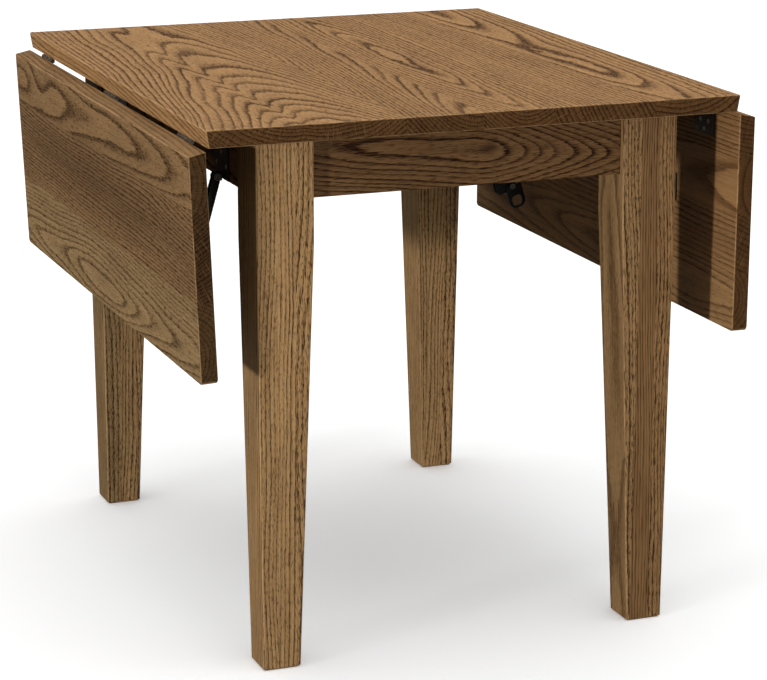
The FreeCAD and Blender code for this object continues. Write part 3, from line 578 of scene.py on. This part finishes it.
@dataclass(frozen=True)
class Timber:
    """Ring-porous timber with open pores under a thin brown stain and a satin wax.

    A stain is how much of a colour is taken, a span is where in its figure a change starts and ends, and a depth
    is a share of the relief, which is in millimetres.
    """

    rings: Rings = Rings()
    pores: Pores = Pores()
    wear: Wear = Wear()
    pale: Colour = (0.440, 0.258, 0.110)
    warm: Colour = (0.330, 0.182, 0.072)
    dark: Colour = (0.105, 0.048, 0.0165)
    pore: Colour = (0.030, 0.0125, 0.0045)
    end_stain: Colour = (0.245, 0.205, 0.155)
    rubbed: Colour = (0.470, 0.290, 0.142)
    warm_loss: Colour = (0.0, 0.11, 0.17)
    streaks: Figure = Figure(3.2, 130.0, 3.0)
    streak_span: Span = (0.25, 0.75)
    clouds: Figure = Figure(60.0, 170.0, 2.0)
    cloud_light: Span = (0.78, 1.22)
    ring_stain: float = 0.92
    pore_stain: float = 0.9
    rub_stain: float = 0.42
    end_span: Span = (0.55, 0.9)
    ray_turns: float = 260.0
    ray_run: float = 30.0
    ray_span: Span = (0.60, 0.72)
    ray_stain: float = 0.16
    satin: float = 0.50
    pore_rough: float = 0.24
    ring_rough: float = 0.06
    rub_gloss: float = 0.06
    specular: float = 0.05
    pore_depth: float = 0.8
    ring_depth: float = 0.25
    relief: float = 0.4
    relief_strength: float = 0.4

    def finish(self, name: str, cut: Cut) -> bpy.types.Material:
        """Make the timber of one piece.

        Args:
            name: The material's name.
            cut: How the piece lies and which boards it has.

        Returns:
            The finished material.
        """
        graph = Graph(bpy.data.materials.new(name))
        point = cut.measured(graph)
        across, along, _ = point
        board = cut.chart(graph, across)
        bulge, shade = self._swells(cut, across, along)
        radius, angle = self.rings.measured(graph, cut, board, point)
        phase = (radius + bulge) / board["ring"]
        early = self.rings.early_wood(graph, phase, along, cut.seed) * board["lines"]
        pores = self.pores.drawn(graph, cut, board, early, point)
        end = abs(graph.along(graph.facing(), cut.along)).eased(*self.end_span)
        worn = self.wear.drawn(graph, cut)
        colour = self._colour(graph, board, early, pores, point, cut.seed)
        # Darken where a swell carries a shade: knots, a band of painted shade across the left leaf, and the legs
        # towards their feet.
        colour = graph.mixed(shade, colour, self.pore)
        colour = graph.mixed(end, colour, graph.mixed(1.0, colour, self.end_stain, "MULTIPLY"))
        colour = graph.mixed(self._rays(graph, angle, radius) * end * self.ray_stain, colour, self.warm)
        colour = graph.mixed(worn * self.rub_stain, colour, self.rubbed)
        roughness = pores * self.pore_rough + early * self.ring_rough + self.satin - worn * self.rub_gloss
        height = 1.0 - pores * self.pore_depth - early * self.ring_depth
        return graph.surfaced({
            "Base Color": colour, "Roughness": roughness, "Specular IOR Level": self.specular,
            "Normal": graph.relief(height, self.relief * MM, self.relief_strength)})

    @staticmethod
    def _swells(cut: Cut, across: Signal, along: Signal) -> tuple[Operand, Operand]:
        """Add up the swells of a piece.

        Args:
            cut: The piece.
            across: How far the point lies across it.
            along: How far the point lies along it.

        Returns:
            How far the swells push the rings out, and how dark they are.
        """
        bulge: Operand = 0.0
        shade: Operand = 0.0
        for swell in cut.swells:
            sideways = (across - swell.across) / swell.width
            lengthways = (along - swell.along) / swell.length
            near = (-1.0 * (sideways * sideways + lengthways * lengthways)).math("EXPONENT")
            bulge = near * swell.rise + bulge
            if swell.shade:
                shade = near * swell.shade + shade
        return bulge, shade

    def _colour(self, graph: Graph, board: Mapping[str, Operand], early: Signal, pores: Signal, point: Point,
                seed: float) -> Signal:
        """Stain the timber.

        Args:
            graph: The tree that the colours go into.
            board: The properties of the board.
            early: How dark the ring is.
            pores: How open a pore is.
            point: The point, across, along and through the piece.
            seed: The piece's seed.

        Returns:
            The colour before wear.
        """
        streak = self.streaks.drawn(graph, point, lengthways=seed)
        cloud = self.clouds.drawn(graph, point, seed)
        ground = graph.mixed(streak.eased(*self.streak_span), self.pale, self.warm)
        ringed = graph.mixed(early * self.ring_stain, ground, self.dark)
        pored = graph.mixed(pores * self.pore_stain, ringed, self.pore)
        light = cloud.scaled(*self.cloud_light) * board["tone"]
        red, green, blue = (light * (1.0 - board["warmth"] * loss) for loss in self.warm_loss)
        return graph.vector("MULTIPLY", pored, graph.joined(red, green, blue))

    def _rays(self, graph: Graph, angle: Signal, radius: Signal) -> Signal:
        """Return the pale rays that cross the rings on end grain."""
        ways = graph.joined(angle * self.ray_turns, radius / self.ray_run, 0.0)
        return graph.noise(ways, detail=0.0).eased(*self.ray_span)


@dataclass(frozen=True)
class Steel:
    """A steel finish: a coat or bare metal with cloudy gloss, fine scuffs and dust.

    Clouds dull the finish and draw scuffs together, grit and brush strokes make the relief, and a span is where
    in its figure a change starts and ends.

    Attributes:
        base: The colour of the finish.
        bare: The colour that shows where it is scuffed.
        metallic: How metallic the finish is; scuffs are bare metal.
        gloss: The roughness of the clean finish.
        scuffs: How much of it is scuffed.
        pitch: The size of the scuffs in millimetres.
    """

    base: Colour
    bare: Colour
    metallic: float
    gloss: float
    scuffs: float
    pitch: float
    cloud_pitch: float = 9.0
    cloud_detail: float = 3.0
    cloud_span: Span = (0.3, 0.7)
    cloud_pull: float = 0.35
    dull: float = 0.66
    grit_detail: float = 4.0
    grit_roughness: float = 0.65
    brush: Triple = (2400.0, 90.0, 500.0)
    scuff_span: Span = (0.86, 0.98)
    cloud_gloss: Span = (-0.10, 0.14)
    brush_gloss: float = 0.10
    grit_height: float = 0.6
    relief: float = 0.08
    relief_strength: float = 0.25

    def finish(self, name: str) -> bpy.types.Material:
        """Make the finish.

        Args:
            name: The material's name.

        Returns:
            The finished material.
        """
        graph = Graph(bpy.data.materials.new(name))
        place = graph.place()
        cloud = graph.noise(place, PER_METRE / (self.pitch * self.cloud_pitch), self.cloud_detail)
        grit = graph.noise(place, PER_METRE / self.pitch, self.grit_detail, self.grit_roughness)
        brushed = graph.noise(graph.vector("MULTIPLY", place, self.brush), detail=1.0)
        start, bare = (edge - self.scuffs for edge in self.scuff_span)
        scuffed = (grit + cloud * self.cloud_pull).eased(start, bare)
        dulled = tuple(part * self.dull for part in self.base)
        colour = graph.mixed(scuffed, graph.mixed(cloud.eased(*self.cloud_span), self.base, dulled), self.bare)
        roughness = cloud.scaled(*self.cloud_gloss) + brushed * self.brush_gloss + self.gloss
        height = grit * self.grit_height + brushed * (1.0 - self.grit_height)
        return graph.surfaced({
            "Base Color": colour, "Roughness": roughness, "Metallic": scuffed.scaled(self.metallic, 1.0),
            "Normal": graph.relief(height, self.relief * MM, self.relief_strength)})


BLACK_STEEL = Steel((0.008, 0.0075, 0.007), (0.12, 0.11, 0.10), 0.0, 0.34, 0.05, 1.1)
HINGE_STEEL = Steel((0.075, 0.056, 0.036), (0.62, 0.52, 0.38), 0.7, 0.38, 0.12, 0.9)
SCREW_STEEL = Steel((0.72, 0.69, 0.63), (0.86, 0.83, 0.78), 0.5, 0.26, 0.16, 0.5)
RIVET_STEEL = Steel((0.022, 0.020, 0.018), (0.45, 0.42, 0.37), 0.6, 0.36, 0.12, 0.5)
RUBBED_STEEL = Steel((0.74, 0.71, 0.65), (0.88, 0.85, 0.80), 0.5, 0.30, 0.16, 0.4)


class Way(Enum):
    """A choice between the two ways along an axis, by sign."""

    @property
    def word(self) -> str:
        """The word in the node names."""
        return self.name.lower()


class Side(Way):
    """The two leaves, by the sign of their X."""

    LEFT = -1
    RIGHT = 1


class Row(Way):
    """The two ends of the table, by the sign of their Y."""

    FRONT = -1
    BACK = 1


def node(name: str) -> bpy.types.Object:
    """Return the object of a CAD node."""
    return frame["nodes"][name]


def pivot_of(name: str) -> Vector:
    """Return a point on a joint's axis."""
    return Vector(next(joint for joint in frame["joints"] if joint["name"] == name)["pos_m"])


def paint(name: str, material: bpy.types.Material) -> None:
    """Give a CAD node one material all over.

    Args:
        name: The node.
        material: The material.
    """
    piece = node(name)
    piece.data.materials.clear()
    piece.data.materials.append(material)
    LOG.info("dressed %s in %s", name, material.name)


@dataclass(frozen=True)
class Easing:
    """A small rounding of sharp edges.

    Attributes:
        width: How wide the rounding is, in millimetres.
        seam: How far apart points of one corner may lie, in millimetres.
        steps: How many faces go round an edge.
        sharp: From how many degrees an edge is sharp.
    """

    width: float
    seam: float = 0.005
    steps: int = 2
    sharp: float = 40.0

    def apply(self, name: str) -> None:
        """Round a CAD node's sharp edges.

        Args:
            name: The node.
        """
        piece = node(name)
        weld = piece.modifiers.new("joined_faces", "WELD")
        weld.merge_threshold = self.seam * MM
        bevel = piece.modifiers.new("eased_edges", "BEVEL")
        bevel.width = self.width * MM
        bevel.segments = self.steps
        bevel.limit_method = "ANGLE"
        bevel.angle_limit = math.radians(self.sharp)
        bevel.harden_normals = True


def turned(name: str, outline: Sequence[Span], segments: int, capped: bool = False) -> bpy.types.Object:
    """Turn an outline round the Z axis.

    Args:
        name: The piece's name.
        outline: Radius and rise of each point, from the outside inwards.
        segments: How many flat pieces go round.
        capped: Whether the innermost ring is closed.

    Returns:
        The new piece.
    """
    turns = [math.tau * step / segments for step in range(segments)]
    points = [(radius * math.cos(turn), radius * math.sin(turn), rise)
              for radius, rise in outline for turn in turns]
    faces = []
    for ring in range(len(outline) - 1):
        low, high = ring * segments, (ring + 1) * segments
        for step in range(segments):
            after = (step + 1) % segments
            faces.append((low + step, low + after, high + after, high + step))
    if capped:
        faces.append(tuple(range(len(points) - segments, len(points))))
    mesh = bpy.data.meshes.new(name)
    mesh.from_pydata(points, [], faces)
    mesh.shade_smooth()
    piece = bpy.data.objects.new(name, mesh)
    bpy.context.scene.collection.objects.link(piece)
    return piece


@dataclass
class FixedTop:
    """The panel that stays level, five boards side by side with the grain along the hinges."""

    timber: Timber
    boards: tuple[Board, ...] = (
        Board(271.0, -212.0, 220.0, 0.066, -0.036, 0.0, 5.6, 1.04, warmth=0.3),
        Board(109.0, 12.0, 110.0, 0.046, -0.036, 0.0, 5.6, 0.98, ease=160.0, warmth=0.4),
        Board(104.0, 64.0, 44.0, 0.0, 0.060, 60.0, 5.0, 1.02, ease=200.0, warmth=0.4),
        Board(148.0, 460.0, 150.0, 0.008, 0.0, 0.0, 6.2, 1.02, warmth=0.4),
        Board(130.0, 292.0, 84.0, -0.024, 0.0, 0.0, 7.0, 1.06, warmth=0.4),
    )
    swells: tuple[Swell, ...] = (
        Swell(-249.0, -60.0, 9.0, 500.0, 4.4),
        Swell(-270.0, -60.0, 20.0, 500.0, -3.0),
        Swell(-100.0, 0.0, 42.0, 2000.0, 18.0),
    )
    seed: float = 1.0

    def dress(self) -> None:
        """Put the boards on the panel."""
        low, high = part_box("top_panel")
        cut = Cut(UPWARD * high[2], RIGHTWARD, BACKWARD, UPWARD, low[0] * PER_METRE, self.boards, self.seed,
                  self.swells)
        paint("top_panel", self.timber.finish("top_timber", cut))


@dataclass
class Leaf:
    """One hanging leaf, measured down from its hinge on its outer face.

    Its free edge hangs inwards by the lean, in degrees, and its outer face lies off the hinge's axis by the face,
    in millimetres.
    """

    side: Side
    timber: Timber
    lean: float = 2.3
    face: float = 27.4
    boards: tuple[Board, ...] = (
        Board(75.0, 34.0, 80.0, -0.032, 0.0, 0.0, 7.0, 0.68, lines=0.85),
        Board(122.0, -160.0, 150.0, 0.022, 0.0, 0.0, 5.0, 0.66, warmth=0.1),
        # Painted sheen: this lowest board is lighter and greyer, standing in for the sheen on the lower part of
        # the leaf.
        Board(117.0, 272.0, 36.0, 0.0, 0.062, 60.0, 5.6, 0.75, ease=60.0, lines=0.8, warmth=-0.9),
    )
    swells: tuple[Swell, ...] = (
        Swell(30.0, 310.0, 26.0, 60.0, 8.0),
        Swell(84.0, -250.0, 14.0, 150.0, 6.0),
        Swell(272.0, 15.0, 8.0, 40.0, 2.0, 0.25),
        # Painted shade: a broad dark band across the middle of the leaf, with no bulge of the rings.
        Swell(125.0, 60.0, 50.0, 520.0, 0.0, 0.46),
    )
    seed: float = 2.0

    def dress(self) -> None:
        """Put the boards on the leaf, as it hangs."""
        lean = math.radians(self.lean)
        down = Vector((-self.side.value * math.sin(lean), 0.0, -math.cos(lean)))
        outward = Vector((self.side.value * math.cos(lean), 0.0, -math.sin(lean)))
        origin = pivot_of(f"leaf_{self.side.word}_hinge") + outward * self.face * MM
        cut = Cut(origin, down, BACKWARD, outward, 0.0, self.boards, self.seed + self.side.value, self.swells)
        name = f"leaf_{self.side.word}"
        paint(name, self.timber.finish(f"{name}_timber", cut))


@dataclass
class RightLeaf(Leaf):
    """The right leaf, which hangs straighter and has four plainer boards."""

    lean: float = 0.4
    boards: tuple[Board, ...] = (
        Board(62.0, -160.0, 40.0, 0.02, ring=6.4, tone=0.74, pores=0.6, lines=0.9, warmth=0.7),
        Board(80.0, 100.0, 60.0, 0.03, ring=12.0, tone=0.80, pores=0.4, lines=0.8, warmth=0.7),
        Board(80.0, -60.0, 100.0, 0.02, ring=7.4, tone=0.74, pores=0.6, lines=0.9, warmth=0.6),
        Board(84.0, 262.0, -70.0, 0.0, 0.05, -300.0, ring=7.5, tone=0.78, pores=0.6, lines=0.7, warmth=0.3),
    )
    swells: tuple[Swell, ...] = ()


@dataclass
class Undercarriage:
    """The legs, the aprons between them and the corner braces.

    A leg without staves of its own has those of the front left leg, and every leg is darker towards its foot.
    A seed sets a piece's chance figure apart from that of others.
    """

    timber: Timber
    corners: tuple[str, ...] = ("front_left", "front_right", "back_right", "back_left")
    staves: dict[str, tuple[Board, ...]] = field(default_factory=lambda: {
        "front_left": (
            Board(27.0, 160.0, 150.0, 0.010, ring=4.2, pores=0.9, dash=7.0, warmth=-0.4),
            Board(26.0, -170.0, 120.0, -0.012, ring=4.8, tone=1.04, pores=0.8, dash=7.0, warmth=-0.4),
            Board(27.0, 140.0, 190.0, 0.014, ring=3.2, tone=0.98, pores=1.2, dash=9.0, warmth=-0.3)),
        "front_right": (
            Board(27.0, -150.0, -37.0, 0.034, ring=5.0, tone=0.72, pores=1.25, dash=9.0, warmth=-0.1),
            Board(27.0, 180.0, 110.0, -0.010, ring=3.6, tone=0.54, pores=0.6, dash=40.0, warmth=0.5),
            Board(26.0, -150.0, 170.0, 0.012, ring=4.0, tone=0.70, pores=1.1, dash=11.0, warmth=0.2)),
        "back_left": (
            Board(27.0, 160.0, 130.0, 0.012, ring=4.0, tone=0.72, pores=1.1, dash=7.0, warmth=-0.8),
            Board(26.0, -170.0, 120.0, -0.012, ring=4.4, tone=0.84, pores=1.0, dash=8.0, warmth=-0.5),
            Board(27.0, 150.0, 160.0, 0.012, ring=3.4, tone=0.80, pores=1.3, dash=8.0, warmth=-0.5)),
    })
    # Every leg's colour is darkened towards its foot.
    stains: tuple[Swell, ...] = (Swell(0.0, 90.0, 400.0, 240.0, 0.0, 0.15),)
    leg_seed: float = 3.0
    leg_seed_step: float = 2.3
    # The aprons' dark tone is partly the wood's own and partly painted shade from the overhanging top.
    end_board: Board = Board(83.0, 50.0, 24.0, 0.095, 0.14, 29.0, 6.0, 0.37, -0.09, 22.0, lines=1.1, warmth=1.0)
    end_knot: Swell = Swell(49.0, 29.0, 7.0, 12.0, 0.0, 0.85)
    end_seed: float = 5.0
    side_board: Board = Board(83.0, 30.0, 80.0, 0.04, ring=5.6, tone=0.8)
    side_seed: float = 8.0
    brace_board: Board = Board(20.0, 0.0, 400.0, 0.01, tone=0.85)
    brace_seed: float = 11.0

    def dress(self) -> None:
        """Put the timber on every wooden piece under the top."""
        for index, word in enumerate(self.corners):
            self._dress_leg(word, self.leg_seed + self.leg_seed_step * index)
        self._dress_aprons()
        self._dress_braces()

    def _dress_leg(self, word: str, seed: float) -> None:
        """Put the staves on one leg, measured from the middle of its front face.

        Args:
            word: The leg's place.
            seed: What sets its figure apart.
        """
        low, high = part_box(f"leg_{word}")
        origin = Vector(((low[0] + high[0]) / 2, low[1], 0.0))
        width = (high[0] - low[0]) * PER_METRE
        staves = self.staves.get(word, self.staves["front_left"])
        cut = Cut(origin, RIGHTWARD, UPWARD, -BACKWARD, -width / 2, staves, seed, self.stains)
        paint(f"leg_{word}", self.timber.finish(f"leg_{word}_timber", cut))

    def _dress_aprons(self) -> None:
        """Put one board on each apron, with an eye in the front and the back one."""
        for index, row in enumerate(Row):
            low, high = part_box(f"apron_{row.word}")
            origin = Vector((0.0, low[1] if row is Row.FRONT else high[1], low[2]))
            cut = Cut(origin, UPWARD, RIGHTWARD, BACKWARD * row.value, 0.0, (self.end_board,),
                      self.end_seed + index, (self.end_knot,))
            paint(f"apron_{row.word}", self.timber.finish(f"apron_{row.word}_timber", cut))
        for index, side in enumerate(Side):
            low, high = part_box(f"apron_{side.word}")
            origin = Vector((low[0] if side is Side.LEFT else high[0], 0.0, low[2]))
            cut = Cut(origin, UPWARD, BACKWARD, RIGHTWARD * side.value, 0.0, (self.side_board,),
                      self.side_seed + index)
            paint(f"apron_{side.word}", self.timber.finish(f"apron_{side.word}_timber", cut))

    def _dress_braces(self) -> None:
        """Put plain stock on the corner braces."""
        low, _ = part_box("corner_braces")
        cut = Cut(UPWARD * low[2], RIGHTWARD, BACKWARD, UPWARD, low[0] * PER_METRE, (self.brace_board,),
                  self.brace_seed)
        paint("corner_braces", self.timber.finish("brace_timber", cut))


@dataclass
class Hinges:
    """The butt hinges with their pins and screws."""

    plates: Steel
    screws: Steel
    easing: Easing = Easing(0.25)

    def dress(self) -> None:
        """Put steel on the plates, pins and screws."""
        plate_finish = self.plates.finish("hinge_steel")
        screw_finish = self.screws.finish("screw_steel")
        for name in sorted(frame["nodes"]):
            if name.startswith("hinge_"):
                paint(name, plate_finish)
                self.easing.apply(name)
            elif name.startswith(("plate_screws", "brace_screws")):
                paint(name, screw_finish)


@dataclass(frozen=True)
class RolledRim:
    """The rolled end of a hollow rivet, turned round the pin that it belongs to.

    Attributes:
        profile: Radius and rise of the turned outline, as shares of the head's radius.
        segments: How many flat pieces go round.
    """

    profile: tuple[Span, ...] = (
        (0.97, -0.02), (0.95, 0.07), (0.89, 0.10), (0.83, 0.07), (0.80, -0.02), (0.50, -0.02), (0.47, 0.06),
        (0.41, 0.09), (0.35, 0.06), (0.31, -0.02),
    )
    segments: int = 32

    def rolled(self, name: str, centre: Vector, outward: float, radius: float) -> bpy.types.Object:
        """Roll one rim.

        Args:
            name: The piece's name.
            centre: The middle of the head's flat end.
            outward: The sign of the way along Y that the end faces.
            radius: The head's radius.

        Returns:
            The new piece.
        """
        outline = [(share * radius, rise * radius) for share, rise in self.profile]
        piece = turned(name, outline, self.segments)
        piece.location = centre
        piece.rotation_euler = (math.radians(-90.0 * outward), 0.0, 0.0)
        return piece


@dataclass
class Supports:
    """The folding supports: brackets, arms, pins and release loops, with the rolled rims of the rivets.

    A pin's points lie within the reach of its joint, and those of its end face within the flatness of it, both in
    millimetres. The last two fields say how the names of enamelled nodes and of pins start.
    """

    steel: Steel
    rivets: Steel
    edges: Steel
    rim: RolledRim = RolledRim()
    easing: Easing = Easing(0.3)
    reach: float = 20.0
    flatness: float = 0.01
    enamelled: tuple[str, ...] = ("apron_bracket", "leaf_bracket_left", "leaf_bracket_right", "lower_arm",
                                  "upper_arm", "release_loop")
    pins: tuple[str, ...] = ("pivot_pins", "leaf_bracket_pins", "knee_pin", "release_rivet")

    def dress(self) -> None:
        """Put enamel on the arms and brackets, dark steel on the pins, and roll the rivets."""
        enamel = self.steel.finish("black_enamel")
        self._dress_nodes(enamel, self.rivets.finish("rivet_steel"))
        rubbed = self.edges.finish("rubbed_steel")
        for side in Side:
            for row in Row:
                self._roll_rims(side, row, rubbed)

    def _roll_rims(self, side: Side, row: Row, rubbed: bpy.types.Material) -> None:
        """Roll both ends of every rivet of one support.

        Args:
            side: The leaf that the support carries.
            row: Which of the leaf's two supports it is.
            rubbed: The finish of the rolled edges.
        """
        place = f"{side.word}_{row.word}"
        rivets = {
            "pivot": ("pivot_pins", "frame", f"lower_arm_{place}_pivot"),
            "leaf_pin": (f"leaf_bracket_pins_{side.word}", f"leaf_{side.word}_body", f"upper_arm_{place}_pivot"),
            "release": (f"release_rivet_{place}", f"lower_arm_{place}_body", f"release_{place}_pivot"),
        }
        for word, (pin, body, joint) in rivets.items():
            middle = pivot_of(joint)
            points = [point for point in self._points(pin) if (point - middle).length < self.reach * MM]
            for end, outward in ((min, -1.0), (max, 1.0)):
                level = end(point.y for point in points)
                radius = max(math.hypot(point.x - middle.x, point.z - middle.z) for point in points
                             if abs(point.y - level) < self.flatness * MM)
                centre = Vector((middle.x, level, middle.z))
                piece = self.rim.rolled(f"rim_{word}_{place}_{end.__name__}", centre, outward, radius)
                piece.data.materials.append(rubbed)
                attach(piece, body)
        LOG.info("rolled the rivets of the %s support", place)

    @staticmethod
    def _points(name: str) -> list[Vector]:
        """Return the points of a CAD node, in the frame."""
        piece = node(name)
        return [piece.matrix_world @ vertex.co for vertex in piece.data.vertices]

    def _dress_nodes(self, enamel: bpy.types.Material, dark: bpy.types.Material) -> None:
        """Put the two finishes on the CAD nodes.

        Args:
            enamel: The finish of the arms, brackets and loops.
            dark: The finish of the pins.
        """
        for name in sorted(frame["nodes"]):
            for starts, finish in ((self.enamelled, enamel), (self.pins, dark)):
                if name.startswith(starts):
                    paint(name, finish)
                    self.easing.apply(name)


@dataclass
class Studio:
    """A pale floor, a low lamp from the left, a soft front lamp, and light from overhead.

    The floor and its backdrop are only for the camera. Angles are in degrees, and the heights are where the light
    from below ends, where that from the sides starts, and where it starts to grow.
    """

    floor_radius: float = 24.0
    bend: float = 16.0
    bend_steps: int = 12
    wall_top: float = 30.0
    facets: int = 96
    clouds: float = 3.0
    pale: Colour = (0.86, 0.86, 0.86)
    grey: Colour = (0.82, 0.82, 0.82)
    wall: Colour = (0.1, 0.1, 0.1)
    floor_glow: Colour = (0.3, 0.3, 0.3)
    wall_glow: Colour = (0.88, 0.88, 0.88)
    roughness: float = 0.8
    specular: float = 0.1
    overhead: float = 2.0
    horizon: float = 0.24
    underneath: float = 0.18
    heights: Triple = (0.48, 0.52, 0.72)
    lamp_strength: float = 1.8
    lamp_spread: float = 5.0
    lamp_height: float = 3.0
    lamp_turn: float = 68.0
    front_strength: float = 1.0
    front_spread: float = 14.0
    front_way: Triple = (-0.13, 1.0, -0.05)

    def build(self) -> None:
        """Lay the floor and hang the lamps."""
        self._lay_floor()
        self._light_overhead()
        tilt = math.radians(90.0 - self.lamp_height)
        self._hang("side_lamp", self.lamp_strength, self.lamp_spread,
                   Euler((tilt, 0.0, math.radians(-self.lamp_turn))))
        self._hang("front_lamp", self.front_strength, self.front_spread,
                   Vector(self.front_way).to_track_quat("-Z", "Y").to_euler())
        bpy.context.scene.view_settings.view_transform = "Standard"
        LOG.info("lit the studio")

    def _lay_floor(self) -> None:
        """Lay a pale floor that bends up into a far backdrop all round, and that only the camera sees."""
        turns = [math.radians(90.0 * step / self.bend_steps) for step in range(self.bend_steps, -1, -1)]
        outline = [(self.floor_radius + self.bend, self.wall_top)]
        for turn in turns:
            outline.append((self.floor_radius + self.bend * math.sin(turn), self.bend * (1.0 - math.cos(turn))))
        floor = turned("floor", outline, self.facets, capped=True)
        graph = Graph(bpy.data.materials.new("floor_paint"))
        place = graph.place()
        cloud = graph.noise(place, self.clouds)
        raised = graph.along(place, UPWARD).eased(0.0, self.bend / 2)
        floor.data.materials.append(graph.surfaced({
            "Base Color": graph.mixed(raised, graph.mixed(cloud, self.pale, self.grey), self.wall),
            "Roughness": self.roughness, "Specular IOR Level": self.specular,
            "Emission Color": graph.mixed(raised, self.floor_glow, self.wall_glow), "Emission Strength": 1.0}))
        floor.visible_diffuse = False
        floor.visible_glossy = False
        floor.visible_shadow = False

    def _light_overhead(self) -> None:
        """Light the room from overhead, dimmer towards the floor."""
        world = bpy.data.worlds.new("studio")
        bpy.context.scene.world = world
        graph = Graph(world)
        direction = graph.node("ShaderNodeTexCoord", {}, {}, "Generated")
        rise = graph.along(direction, UPWARD).scaled(0.5, 1.0)
        below, level, above = self.heights
        stops = ((0.0, self.underneath), (below, self.underneath), (level, self.horizon), (above, self.horizon),
                 (1.0, self.overhead))
        peak = max(self.overhead, 1.0)
        light = graph.curve(rise, [(position, height / peak) for position, height in stops])
        sky = graph.node("ShaderNodeBackground", {}, {"Color": light, "Strength": peak})
        graph.node("ShaderNodeOutputWorld", {}, {"Surface": sky})

    @staticmethod
    def _hang(name: str, strength: float, spread: float, turn: Euler) -> None:
        """Hang a far lamp.

        Args:
            name: The lamp's name.
            strength: How strong it is.
            spread: How many degrees wide it is.
            turn: The way that it is turned.
        """
        light = bpy.data.lights.new(name, "SUN")
        light.energy = strength
        light.angle = math.radians(spread)
        lamp = bpy.data.objects.new(name, light)
        lamp.rotation_euler = turn
        bpy.context.scene.collection.objects.link(lamp)


@dataclass
class Photographer:
    """The camera at the photograph's viewing angle.

    Angles are in degrees, and the lens and the sensor are in millimetres.
    """

    stand: Triple = (-1.4161, -3.7802, 1.3929)
    turn: float = 21.01
    stoop: float = 14.69
    lens: float = 130.7
    sensor: float = 36.0

    def set_up(self) -> None:
        """Put the camera on its stand."""
        camera = bpy.data.objects.new("camera", bpy.data.cameras.new("camera"))
        camera.data.lens = self.lens
        camera.data.sensor_width = self.sensor
        camera.location = self.stand
        camera.rotation_euler = (math.radians(90.0 - self.stoop), 0.0, math.radians(-self.turn))
        bpy.context.scene.collection.objects.link(camera)
        bpy.context.scene.camera = camera
        LOG.info("set up the camera")


def main() -> None:
    """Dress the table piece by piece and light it."""
    logging.basicConfig(level=logging.INFO, format="%(message)s")
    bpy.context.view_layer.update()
    timber = Timber()
    FixedTop(timber).dress()
    Leaf(Side.LEFT, timber).dress()
    RightLeaf(Side.RIGHT, timber).dress()
    Undercarriage(timber).dress()
    Hinges(HINGE_STEEL, SCREW_STEEL).dress()
    Supports(BLACK_STEEL, RIVET_STEEL, RUBBED_STEEL).dress()
    Studio().build()
    Photographer().set_up()


if __name__ == "__main__":
    main()
